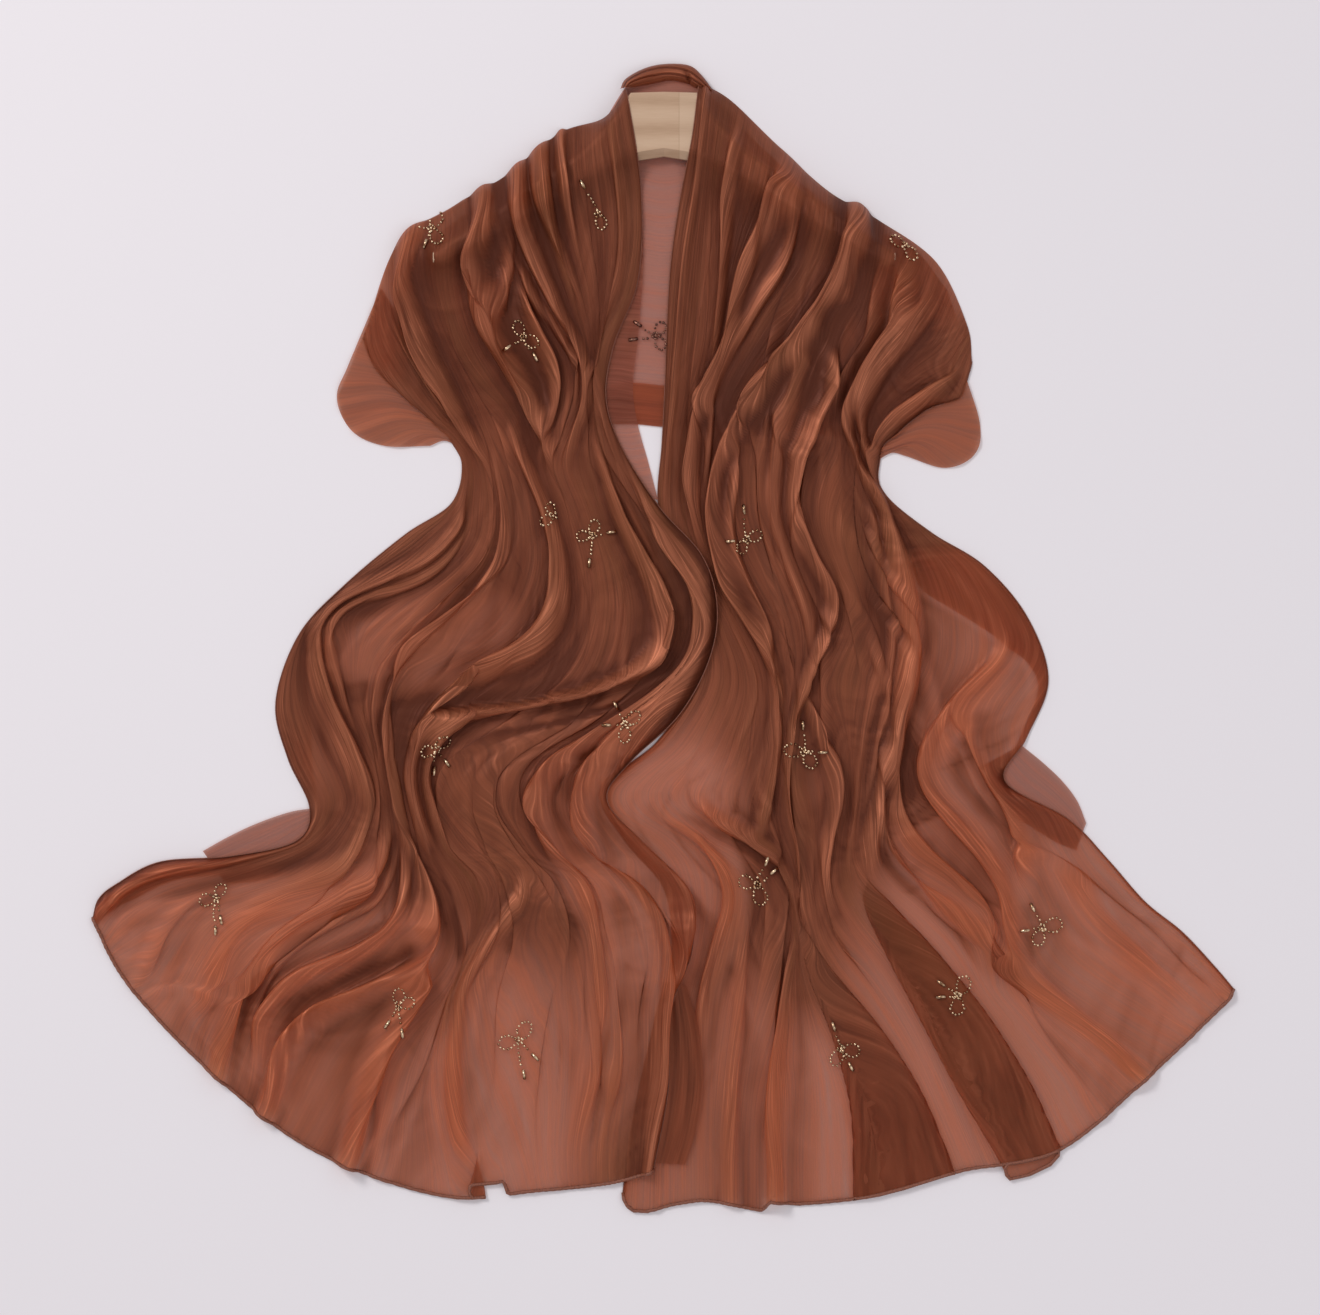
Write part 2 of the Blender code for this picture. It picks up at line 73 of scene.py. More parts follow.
# Ripples of the plain stretches: height, width and length.
PLAIN_RIPPLE = 0.0006
WING_RIPPLE = 0.0012
PLAIN_RIPPLE_WIDTH = 0.006
PLAIN_RIPPLE_LENGTH = 0.09

# How finely the fronts are cut, and in how many steps for each column distances and threads are
# measured. Threads are also followed past the edges by a margin of columns.
ROWS_IN_A_SECTION = 17
FRONT_COLUMNS = 262
EDGE_COLUMNS = 18
FINE_STEPS = 20
WIDE_STEPS = 60
WIDE_MARGIN = 2
# How finely a traced crest is read, and the coarser grid of rows and columns that it is first found on.
CREST_STEPS = 10
COARSE_STEPS = 12
COARSE_ROWS = 4
# Columns to each side between which a direction or a spacing is measured.
DIRECTION_REACH = 0.02
SPACING_REACH = 0.25

# Sections over which a fold rises or dies out, how far it has risen at its first point, and sections
# over which its crest's corners are rounded.
FADE = 1.5
FIRST_RISE = 0.35
CREST_ROUNDING = 0.5
# How unevenly a fold's height runs along it.
UNEVENNESS = 0.16
# The least steepness that is reckoned with where a crest slants over the rows.
FLATTEST_SLANT = 0.42
# Columns over which a fold draws the threads along with it, and how much they ease back in each row.
THREAD_REACH = 0.45
THREADS_EASE = 0.006
# Narrower folds beside a traced one: the share of sides that have one, how much of that share holds
# for folds that start at the shoulder, and their size as a share of the traced fold's.
BESIDE_SHARE = 0.55
SHOULDER_SHARE = 0.5
BESIDE_SIZES = (0.28, 0.50)
# Fine folds strewn over a front: how many, half widths in millimetres and lengths in sections.
FINE_FOLDS = 60
FINE_HALF_WIDTHS = (3.5, 9.0)
FINE_LENGTHS = (1.6, 6.0)
# Plan width of a column where the cloth lies open, and how much cut width a plan width takes up
# where the cloth is still loose and where it is dense.
OPEN_SPACING = 0.056
LOOSE_RATIO = 1.75
DENSE_RATIO = 2.6
DOUBLED_DENSITY = 0.35
# Bounds to how much the gathers narrow the folds and the ripples.
FOLD_SCALES = (0.48, 1.15)
RIPPLE_SCALES = (0.15, 1.2)
# How much of the cloth is bunched under itself besides, as pairs of section and share. Bunched cloth
# is less see-through, and is darkened with painted shade.
LEFT_BUNCHED = (
    (0, 0.30), (3, 0.30), (5, 0.35), (8, 0.48), (10, 0.45), (12, 0.20), (14, 0.05), (16, 0.0), (18, 0.0))
RIGHT_BUNCHED = ((0, 0.30), (3, 0.30), (5, 0.22), (8, 0.12), (12, 0.06), (14, 0.02), (16, 0.0), (18, 0.0))
# Heights over and under the cloth around that count as a crest and as a valley, and points to each
# side over which that is measured. Crests get painted highlight, and valleys painted shade.
CREST_RELIEF = 0.0050
VALLEY_RELIEF = 0.0034
RELIEF_REACHES = (17, 6)
# Height at which a fold by itself counts as half a crest, and depth at which a hollow's painted shade is
# full.
FOLD_RELIEF = 0.009
HOLLOW_DEPTH = 0.014
# Height up to which the side of a thrown fold gets a line of painted shade, and the share of its width to
# which the cloth beside the fold has to be crowded for that.
FOOT_HEIGHT = 0.005
CROWDED_SHARE = 0.7
# How far the threads wander across the cloth.
THREAD_WANDER = 0.0015
# Ripples of a front and lines of painted crease shade: height and width in metres, and changes in each
# section along it.
SHARP_RIPPLE = (0.0007, 0.016, 0.55)
FINE_RIPPLE = (0.0003, 0.008, 1.1)
BROAD_RIPPLE = (0.0008, 0.045, 0.8)
CREASE_WIDTH = 0.021
CREASE_CHANGES = 0.16
# Sections above which no painted crease shade lies, and over which it comes in.
CREASES_BEGIN = 3

# The height map that each stretch is laid on.
MAP_CELL = 0.0025
MAP_REACH = 0.49
BRIDGE_PASSES = 60

# The nets. Each row is a section across the cloth, and each column a line that its folds follow.
# left front: name, outer, wing, side, flank, middle, inner, lapel, opening
LEFT_SECTIONS = (
    ("shoulder", (338, 402), (364, 335), (397, 245), (452, 207), (507, 175), (560, 133), (604, 118),
     (626, 89)),
    ("yoke", (342, 421), (374, 372), (405, 300), (455, 270), (515, 245), (563, 210), (606, 195), (641, 190)),
    ("chest", (360, 437), (395, 400), (425, 352), (472, 325), (537, 305), (578, 290), (612, 282), (638, 280)),
    ("bust", (395, 446), (428, 423), (455, 393), (499, 372), (560, 355), (588, 352), (602, 348), (614, 345)),
    ("rib", (435, 445), (455, 437), (478, 425), (515, 412), (560, 402), (580, 400), (594, 398), (606, 398)),
    ("waist", (461, 462), (473, 464), (492, 464), (520, 463), (547, 461), (573, 458), (601, 454), (622, 448)),
    ("hip", (452, 503), (470, 508), (496, 514), (528, 516), (562, 515), (593, 512), (630, 510), (660, 508)),
    ("lap", (405, 535), (445, 545), (487, 558), (533, 565), (572, 566), (612, 565), (655, 562), (702, 556)),
    ("thigh", (345, 585), (378, 592), (445, 607), (520, 617), (575, 618), (617, 617), (664, 614), (717, 607)),
    ("knee", (299, 635), (324, 638), (402, 655), (485, 668), (553, 672), (603, 672), (652, 668), (709, 660)),
    ("calf", (276, 702), (325, 692), (383, 705), (432, 716), (497, 722), (560, 722), (612, 718), (679, 715)),
    ("turn", (288, 758), (350, 750), (386, 755), (412, 760), (446, 765), (492, 762), (550, 762), (630, 762)),
    ("bend", (310, 808), (362, 800), (393, 803), (415, 805), (440, 806), (482, 803), (532, 803), (607, 798)),
    ("fan", (296, 841), (338, 848), (395, 848), (424, 850), (452, 846), (503, 845), (555, 852), (637, 838)),
    ("flare", (231, 856), (290, 885), (375, 900), (436, 900), (480, 880), (527, 880), (590, 890), (688, 892)),
    ("spread", (160, 862), (228, 915), (322, 950), (432, 955), (490, 935), (545, 935), (602, 940),
     (692, 950)),
    ("skirt", (117, 884), (185, 945), (275, 1000), (400, 1020), (463, 1005), (535, 1005), (602, 1010),
     (671, 1010)),
    ("sweep", (99, 899), (154, 965), (240, 1034), (357, 1085), (452, 1091), (535, 1092), (605, 1092),
     (668, 1090)),
    ("hem", (93, 918), (128, 983), (209, 1069), (313, 1149), (441, 1195), (540, 1190), (607, 1183),
     (653, 1171)),
)
# right front: name, opening, lapel, inner, middle, flank, side, wing, outer
RIGHT_SECTIONS = (
    ("shoulder", (699, 83), (730, 100), (775, 143), (828, 191), (878, 220), (936, 262), (967, 325),
     (972, 362)),
    ("yoke", (692, 140), (722, 150), (765, 190), (812, 235), (862, 262), (918, 312), (946, 362), (968, 393)),
    ("chest", (680, 200), (713, 212), (748, 245), (792, 282), (842, 305), (893, 345), (922, 392), (978, 438)),
    ("bust", (671, 262), (706, 275), (732, 298), (768, 325), (818, 348), (868, 378), (896, 423), (955, 466)),
    ("rib", (667, 325), (700, 335), (718, 350), (750, 368), (797, 388), (850, 408), (873, 440), (903, 457)),
    ("waist", (665, 385), (694, 392), (705, 402), (735, 412), (785, 425), (843, 440), (864, 462), (879, 474)),
    ("hip", (662, 445), (690, 450), (712, 455), (745, 462), (790, 470), (838, 480), (870, 495), (889, 499)),
    ("lap", (658, 500), (692, 508), (709, 512), (745, 520), (790, 522), (835, 530), (885, 540), (933, 534)),
    ("thigh", (668, 555), (704, 565), (722, 572), (758, 572), (803, 572), (845, 578), (900, 585), (984, 566)),
    ("knee", (690, 615), (728, 625), (750, 625), (780, 625), (820, 622), (862, 628), (920, 630), (1027, 617)),
    ("calf", (697, 675), (745, 685), (775, 682), (793, 675), (822, 672), (868, 680), (930, 685), (1048, 680)),
    ("turn", (657, 741), (725, 745), (772, 740), (788, 735), (832, 728), (872, 735), (925, 738), (1026, 738)),
    ("bend", (588, 790), (700, 798), (765, 795), (790, 795), (842, 785), (878, 790), (925, 790), (1005, 781)),
    ("fan", (596, 838), (715, 843), (775, 845), (797, 850), (838, 840), (885, 848), (965, 835), (1068, 819)),
    ("flare", (625, 890), (738, 893), (785, 895), (805, 905), (850, 900), (918, 905), (1000, 885),
     (1108, 860)),
    ("spread", (655, 950), (725, 955), (780, 955), (818, 965), (878, 955), (955, 955), (1030, 940),
     (1145, 902)),
    ("skirt", (648, 1020), (705, 1020), (772, 1025), (838, 1030), (908, 1020), (985, 1010), (1070, 990),
     (1182, 932)),
    ("sweep", (635, 1110), (698, 1110), (765, 1110), (860, 1110), (935, 1090), (1020, 1080), (1115, 1040),
     (1214, 966)),
    ("hem", (630, 1207), (700, 1200), (768, 1205), (870, 1196), (963, 1170), (1058, 1150), (1148, 1076),
     (1236, 992)),
)
# back: name, top, upper, lower, hem
BACK_SECTIONS = (
    ("left fold", (410, 256), (392, 318), (397, 368), (440, 412)),
    ("left arm", (460, 218), (440, 290), (430, 365), (460, 428)),
    ("left chest", (520, 180), (510, 260), (490, 350), (490, 430)),
    ("left neck", (582, 152), (578, 240), (560, 340), (545, 428)),
    ("nape left", (629, 84), (628, 190), (625, 310), (622, 424)),
    ("nape", (664, 76), (664, 190), (664, 310), (664, 427)),
    ("nape right", (699, 84), (703, 190), (708, 310), (712, 428)),
    ("right neck", (752, 138), (760, 230), (772, 335), (785, 430)),
    ("right chest", (828, 205), (838, 275), (845, 355), (830, 436)),
    ("right arm", (910, 247), (912, 308), (902, 372), (862, 440)),
    ("right fold", (947, 290), (960, 340), (942, 388), (888, 438)),
)
# nape roll: name, outer, crest, inner
NAPE_SECTIONS = (
    ("left end", (620, 90), (625, 89), (629, 88)),
    ("left turn", (626, 79), (632, 83), (638, 87)),
    ("left", (646, 68), (650, 76), (654, 84)),
    ("middle", (668, 64), (669, 72), (670, 81)),
    ("right", (690, 66), (688, 75), (687, 84)),
    ("right turn", (703, 77), (698, 82), (693, 87)),
    ("right end", (714, 92), (708, 92), (702, 91)),
)
# strip turned under at the left of the opening: name, hidden edge, middle, open edge
STRIP_SECTIONS = (
    ("top", (618, 215), (630, 218), (643, 222)),
    ("upper", (615, 270), (629, 272), (643, 275)),
    ("bust", (604, 335), (622, 337), (638, 338)),
    ("middle", (601, 385), (618, 385), (633, 388)),
    ("band", (611, 425), (626, 426), (638, 425)),
    ("lower", (625, 462), (638, 463), (648, 461)),
    ("crossing", (644, 497), (651, 499), (658, 500)),
)
# Stretches that peep out from under a fold. Each row: name, edge that shows, edge hidden under the fold
LEFT_FLAP_SECTIONS = (
    ("top", (314, 808), (342, 812)),
    ("upper", (290, 812), (322, 840)),
    ("middle", (258, 823), (296, 866)),
    ("lower", (230, 836), (262, 880)),
    ("tip", (203, 851), (226, 884)),
)
RIGHT_FLAP_SECTIONS = (
    ("top", (1021, 745), (978, 768)),
    ("upper", (1042, 762), (1000, 806)),
    ("middle", (1062, 781), (1030, 826)),
    ("lower", (1077, 801), (1056, 842)),
    ("tip", (1086, 823), (1076, 850)),
)
CORNER_SECTIONS = (
    ("top", (686, 985), (668, 985)),
    ("upper", (699, 1032), (664, 1030)),
    ("middle", (703, 1082), (660, 1080)),
    ("lower", (696, 1130), (654, 1130)),
    ("foot", (685, 1164), (648, 1162)),
)
# Single layers at the wings, gathered towards the waist: name, waist end, half way, outline
LEFT_WING_SECTIONS = (
    ("upper", (436, 374), (402, 322), (381, 288)),
    ("side", (441, 402), (388, 374), (349, 364)),
    ("corner", (444, 414), (388, 394), (337, 398)),
    ("lower corner", (449, 427), (400, 418), (352, 431)),
    ("lower", (455, 438), (418, 432), (385, 446)),
    ("inner", (459, 446), (444, 441), (430, 446)),
)
RIGHT_WING_SECTIONS = (
    ("upper", (886, 430), (925, 398), (964, 372)),
    ("side", (882, 442), (928, 420), (980, 425)),
    ("corner", (881, 448), (925, 435), (974, 455)),
    ("lower", (880, 454), (915, 445), (945, 468)),
    ("inner", (878, 460), (892, 453), (905, 456)),
)

# Folds: name, height, half width and throw to the right in millimetres, then the crest in plan steps
# as it shows. A fold thrown by more than its half width hangs over itself. A height below nothing is
# a hollow between folds: it lowers the folds' rise there by half its depth and gets painted shade.
LEFT_FOLDS = (
    ("wing edge", 9, 11, -9, (398, 246), (394, 270), (399, 298), (414, 335), (436, 380), (458, 420),
     (474, 455)),
    ("wing second", 8, 9, -7, (403, 305), (418, 345), (441, 392), (467, 432), (486, 470)),
    ("wing hollow", -7, 21, 0, (425, 262), (438, 300), (456, 345), (478, 390), (498, 432)),
    ("sleeve crease", 12, 13, -13, (470, 205), (472, 226), (466, 255), (467, 282), (474, 310), (488, 344),
     (506, 376), (526, 408), (539, 440), (549, 472)),
    ("sleeve inner", 7, 9, 6, (517, 243), (509, 275), (503, 310), (509, 345), (525, 375), (541, 400)),
    ("sleeve hollow", -6, 9, 0, (522, 250), (515, 285), (515, 320), (527, 358)),
    ("bow fold", 9, 9, 9, (524, 272), (527, 302), (538, 331), (552, 358), (559, 382), (556, 412), (548, 445)),
    ("bosom crease", 10, 12, -8, (508, 166), (514, 212), (526, 250), (541, 283), (557, 313), (573, 343),
     (583, 370), (583, 400), (573, 432), (560, 466)),
    ("bosom hollow", -5, 8, 0, (533, 285), (548, 320), (562, 345), (572, 385)),
    ("bosom inner", 8, 9, -7, (528, 160), (534, 195), (546, 230), (562, 266), (577, 298)),
    ("neck crease", 8, 9, 6, (547, 142), (549, 190), (557, 230), (566, 262), (574, 290)),
    ("gather", 9, 7, 6, (566, 132), (566, 165), (570, 198), (578, 236)),
    ("neck hollow", -7, 15, 0, (582, 150), (588, 200), (598, 250), (600, 300), (593, 345)),
    ("neck band", 6, 9, -5, (608, 135), (616, 180), (620, 215), (620, 250), (615, 290), (605, 330),
     (600, 366), (602, 402), (610, 440), (621, 472)),
    ("outer roll", 9, 12, 7, (468, 492), (459, 528), (431, 560), (392, 580), (351, 595), (325, 616),
     (319, 650), (328, 690), (345, 730), (362, 768), (372, 805)),
    ("outer hollow", -6, 10, 0, (484, 512), (466, 552), (430, 584), (388, 604), (350, 625), (336, 660)),
    ("side swag", 10, 11, -9, (492, 465), (502, 510), (497, 555), (472, 598), (434, 638), (404, 670),
     (388, 702), (384, 735), (388, 768), (394, 802), (399, 840)),
    ("side hollow", -5, 8, 0, (404, 700), (402, 735), (403, 770), (407, 805)),
    ("middle swag", 13, 13, -7, (510, 440), (534, 488), (548, 530), (556, 570), (553, 608), (535, 640),
     (502, 662), (466, 682), (444, 698)),
    ("middle drop", 12, 12, -2, (466, 684), (438, 706), (419, 740), (412, 780), (419, 815), (428, 846)),
    ("middle hollow", -10, 10, 0, (592, 598), (580, 640), (553, 680), (515, 704), (475, 713), (445, 735),
     (427, 768)),
    ("knot swag", 15, 11, 10, (604, 452), (617, 500), (637, 545), (655, 580), (664, 615), (658, 650),
     (630, 680), (585, 697), (535, 705), (490, 714), (456, 728), (437, 750), (430, 778), (436, 810),
     (451, 845)),
    ("knot hollow", -9, 9, 0, (676, 640), (650, 684), (600, 712), (545, 722), (495, 735), (462, 755)),
    ("inner swag", 11, 11, -10, (625, 462), (645, 500), (668, 540), (690, 580), (699, 618), (690, 655),
     (665, 688), (630, 710), (590, 733), (556, 756), (537, 782), (531, 806), (536, 836), (551, 862)),
    ("lapel swag", 10, 9, -8, (641, 500), (672, 540), (699, 582), (710, 620), (703, 655), (681, 690),
     (650, 715), (616, 740), (590, 766), (577, 792), (575, 818), (583, 846), (601, 870)),
    ("lapel edge", 7, 6, -5, (656, 520), (690, 560), (709, 600), (712, 640), (695, 680), (665, 714),
     (640, 739), (619, 766), (609, 796), (616, 826)),
    ("turned edge", 7, 11, 4, (318, 812), (300, 838), (255, 852), (205, 862), (150, 874), (118, 892),
     (101, 915)),
    ("edge hollow", -5, 9, 0, (325, 842), (290, 862), (245, 872), (200, 884), (160, 900)),
    ("soft flute", 6, 14, 8, (372, 810), (356, 850), (326, 875), (290, 891), (252, 915), (226, 945),
     (210, 985), (200, 1030)),
    ("orange flute", 9, 13, 9, (392, 830), (380, 868), (350, 895), (310, 915), (276, 940), (252, 966),
     (237, 1000), (230, 1040), (226, 1085)),
    ("orange hollow", -2.5, 8, 0, (330, 925), (290, 945), (262, 972), (248, 1010), (242, 1060)),
    ("outer flute", 9, 11, -8, (401, 848), (402, 895), (385, 933), (342, 955), (302, 970), (272, 995),
     (256, 1030), (250, 1068)),
    ("second flute", 11, 10, -11, (420, 945), (400, 966), (370, 981), (336, 997), (306, 1015), (286, 1035),
     (272, 1060), (262, 1085), (254, 1110)),
    ("second hollow", -5, 7, 0, (398, 952), (362, 972), (324, 988), (292, 1008), (270, 1036)),
    ("flute", 12, 11, 10, (404, 825), (420, 858), (432, 890), (438, 925), (436, 962), (420, 1000),
     (401, 1030), (386, 1060), (375, 1090), (368, 1120), (362, 1155)),
    ("flute hollow", -6, 7, 0, (430, 845), (446, 885), (453, 930), (450, 975)),
    ("bow hollow", -3.5, 11, 0, (408, 965), (402, 995), (388, 1022)),
    ("middle flute", 8, 12, 0, (528, 880), (518, 903), (499, 928), (479, 957), (464, 985), (461, 1010),
     (454, 1050), (453, 1095), (459, 1140), (467, 1182)),
    ("inner flute", 6, 13, 7, (535, 808), (558, 840), (576, 872), (590, 910), (598, 955), (602, 1005),
     (599, 1055), (590, 1105), (580, 1155)),
    ("opening flute", 7, 10, 6, (585, 828), (611, 860), (641, 890), (660, 922), (667, 960), (667, 1010),
     (666, 1060), (661, 1110), (654, 1165)),
    ("lapel flute", 7, 8, 5, (626, 800), (652, 835), (680, 862), (692, 892), (692, 930), (682, 970),
     (670, 1000)),
    ("foot line", 5, 8, 5, (613, 985), (620, 1050), (612, 1110), (603, 1165)),
)
RIGHT_FOLDS = (
    ("opening band", 6, 8, -5, (703, 90), (700, 140), (694, 190), (686, 240), (680, 290), (676, 340),
     (672, 390), (668, 440), (664, 490)),
    ("neck ridge", 8, 9, -7, (733, 128), (725, 175), (722, 215), (721, 260), (717, 310), (710, 360)),
    ("neck hollow", -5, 6, 0, (743, 160), (741, 205), (736, 245), (727, 280)),
    ("first ridge", 14, 14, -13, (777, 156), (772, 190), (762, 222), (748, 252), (737, 280), (730, 310),
     (725, 338), (713, 365), (701, 392), (693, 420), (689, 450), (688, 490), (692, 530)),
    ("first fall", 6, 8, 3, (800, 200), (792, 245), (776, 280), (756, 312), (738, 345), (722, 378),
     (713, 412), (709, 450), (706, 495)),
    ("first hollow", -9, 13, 0, (806, 212), (798, 258), (784, 300), (766, 335), (746, 365), (729, 395),
     (716, 428)),
    ("second ridge", 14, 14, -13, (845, 205), (846, 235), (838, 268), (824, 296), (806, 322), (788, 346),
     (768, 370), (749, 395), (732, 422), (718, 450), (710, 482), (708, 518), (713, 553), (724, 587),
     (741, 617), (757, 642), (768, 672), (775, 708)),
    ("inner fall", 10, 9, 8, (742, 440), (735, 480), (731, 520), (737, 555), (751, 588), (766, 619),
     (775, 652), (778, 692), (778, 742), (773, 790), (765, 832)),
    ("third ridge", 6, 13, -3, (816, 312), (804, 352), (792, 390), (781, 428), (774, 468), (773, 510),
     (783, 550), (798, 588), (808, 622), (811, 655)),
    ("shoulder hollow", -7, 12, 0, (842, 285), (836, 325), (826, 365), (815, 400), (803, 435)),
    ("middle stem", 12, 11, 10, (839, 345), (834, 390), (817, 428), (804, 460), (798, 495), (803, 526),
     (819, 560), (834, 590), (837, 616), (826, 645), (813, 671), (803, 702), (794, 737), (788, 776),
     (790, 815), (797, 852), (803, 892)),
    ("stem hollow", -8, 13, 0, (842, 430), (848, 480), (855, 535), (864, 588), (868, 640)),
    ("branch", 10, 9, 9, (805, 688), (818, 715), (832, 745), (841, 774), (841, 802), (835, 832),
     (830, 862), (833, 892)),
    ("branch hollow", -6, 8, 0, (852, 780), (850, 820), (841, 855), (842, 890)),
    ("side stem", 12, 15, 6, (856, 452), (874, 484), (887, 514), (897, 545), (905, 576), (911, 606),
     (914, 636), (911, 667), (905, 700), (897, 734), (888, 767), (880, 800), (875, 835), (872, 868)),
    ("side light", 3, 9, 0, (884, 640), (878, 675), (868, 714), (860, 758), (855, 800), (849, 842),
     (846, 875)),
    ("sleeve crease", 12, 13, -12, (897, 262), (893, 305), (885, 340), (868, 368), (852, 393), (844, 418),
     (848, 445), (858, 472)),
    ("sleeve hollow", -9, 16, 0, (872, 262), (870, 300), (862, 340), (848, 375)),
    ("wing ridge", 10, 13, -6, (928, 296), (906, 331), (883, 360), (867, 388), (858, 415), (863, 445),
     (873, 476)),
    ("wing low", 9, 10, -7, (956, 371), (925, 392), (898, 410), (879, 430), (871, 455), (874, 486)),
    ("pocket fold", 9, 12, -8, (1002, 648), (972, 683), (946, 712), (926, 742), (920, 771), (934, 801),
     (959, 830), (984, 858), (1000, 890), (1004, 930), (1006, 975)),
    ("pocket edge", 7, 9, -7, (986, 672), (968, 700), (964, 725), (975, 755), (993, 786), (1010, 820),
     (1018, 860), (1016, 905)),
    ("pocket hollow", -4, 8, 0, (984, 692), (978, 720), (988, 750), (1006, 785)),
    ("outer swag", 8, 10, 8, (905, 735), (897, 770), (901, 805), (914, 836), (937, 862), (965, 886),
     (988, 915), (998, 950), (1001, 992)),
    ("low swag", 7, 8, 6, (880, 800), (886, 830), (902, 858), (931, 884), (960, 906), (981, 936), (993, 976)),
    ("neck flute", 8, 10, -7, (652, 813), (692, 836), (719, 866), (725, 905), (713, 950), (701, 995),
     (697, 1042)),
    ("inner flute", 10, 11, -9, (690, 800), (722, 825), (760, 850), (785, 880), (794, 920), (788, 962),
     (781, 1010), (775, 1060), (768, 1110), (765, 1160), (765, 1207)),
    ("inner hollow", -5, 9, 0, (640, 812), (690, 818), (735, 838), (772, 868), (782, 905)),
    ("soft flute", 5, 12, 4, (745, 900), (742, 960), (738, 1020), (733, 1080), (732, 1140), (735, 1203)),
    ("crisp flute", 9, 9, -9, (803, 885), (803, 922), (808, 955), (823, 986), (848, 1017), (879, 1056),
     (905, 1100)),
    ("side flute", 8, 11, -9, (832, 888), (850, 925), (878, 960), (904, 1000), (926, 1042), (946, 1086),
     (965, 1130), (982, 1168)),
    ("side hollow", -5, 9, 0, (846, 893), (880, 930), (910, 968), (935, 1005)),
    ("outer flute", 9, 11, 8, (870, 880), (900, 910), (930, 945), (957, 976), (987, 1012), (1015, 1054),
     (1040, 1096), (1054, 1132)),
    ("corner flute", 5, 14, 5, (1003, 895), (1011, 940), (1032, 975), (1062, 1005), (1100, 1035),
     (1142, 1070)),
    ("outer light", 4, 15, 4, (1050, 850), (1085, 900), (1130, 950), (1180, 1000)),
)
# Pleats folded flat: name, side that lies on top, then triples of section, left edge and right edge
# in columns.
LEFT_PLEATS = (
    ("hem pleat", "right", (17.2, 4.3, 4.3), (17.7, 4.28, 4.36), (18.0, 4.26, 4.42)),
)
RIGHT_PLEATS = (
    ("middle pleat", "left", (13.8, 2.6, 2.6), (15.0, 2.68, 3.2), (16.0, 2.9, 3.6), (17.0, 2.9, 3.85),
     (18.0, 2.83, 3.92)),
    ("outer pleat", "left", (13.2, 4.4, 4.4), (14.2, 4.18, 4.72), (15.0, 4.1, 4.8), (16.0, 4.15, 5.0),
     (17.0, 4.25, 5.1), (18.0, 4.42, 5.02)),
)
# How far the ends are drawn up from the net's last section, in millimetres, as pairs of cut column and rise.
LEFT_HEM_RISE = ((0, 0), (4.38, 0), (4.46, 11), (4.60, 11), (4.645, 0), (6.9, 0), (7.0, 2))
RIGHT_HEM_RISE = (
    (-0.14, 16), (-0.11, 8), (-0.05, 2), (0.05, -3), (0.25, -5), (0.6, -2), (1.0, 0), (1.5, -1), (1.93, -4),
    (2.05, 4), (2.3, 0), (4.80, 0), (4.86, -13), (4.94, -11), (5.0, 0), (6.9, 0), (7.0, 3))
# Where the main sheet ends inside its net, as pairs of section and column.
LEFT_OUTER_LIMIT = ((0, 0.95), (1, 1.05), (2, 1.15), (3, 1.1), (4, 0.8), (5, 0.0), (18, 0.0))
LEFT_OPENING_LIMIT = ((0, 7.0), (18, 7.0))
RIGHT_OPENING_LIMIT = (
    (0, 0), (11, 0), (12, 0.12), (13, 0.22), (14, 0.36), (15, 0.24), (16, 0.12), (17, 0.0), (18, -0.14))
RIGHT_OUTER_LIMIT = ((0, 7.0), (1, 6.9), (2, 6.25), (3, 6.1), (4, 6.3), (5, 7.0), (18, 7.0))
# How far each long edge is turned under, as pairs of section and columns.
LEFT_OUTER_UNDER = (
    (0, 0.05), (4.5, 0.10), (6, 0.4), (7, 0.55), (8, 0.75), (9, 0.65), (10, 0.7), (11, 0.35), (12, 0.1),
    (13, 0.35), (14, 0.45), (15, 0.3), (16, 0.25), (17, 0.2), (18, 0.12))
LEFT_OPENING_UNDER = (
    (0, 0.5), (1, 0.69), (2, 0.8), (3, 0.75), (4, 0.6), (6, 0.3), (9, 0.15), (13, 0.05), (18, 0.05))
RIGHT_OPENING_UNDER = ((0, 0.4), (1, 0.5), (3, 0.5), (5, 0.45), (7, 0.3), (9, 0.1), (18, 0.05))
RIGHT_OUTER_UNDER = (
    (0, 0.05), (5, 0.1), (6, 0.2), (7, 0.55), (8, 0.85), (9, 0.46), (9.8, 0.08), (12, 0.05), (13, 0.02),
    (18, 0.02))

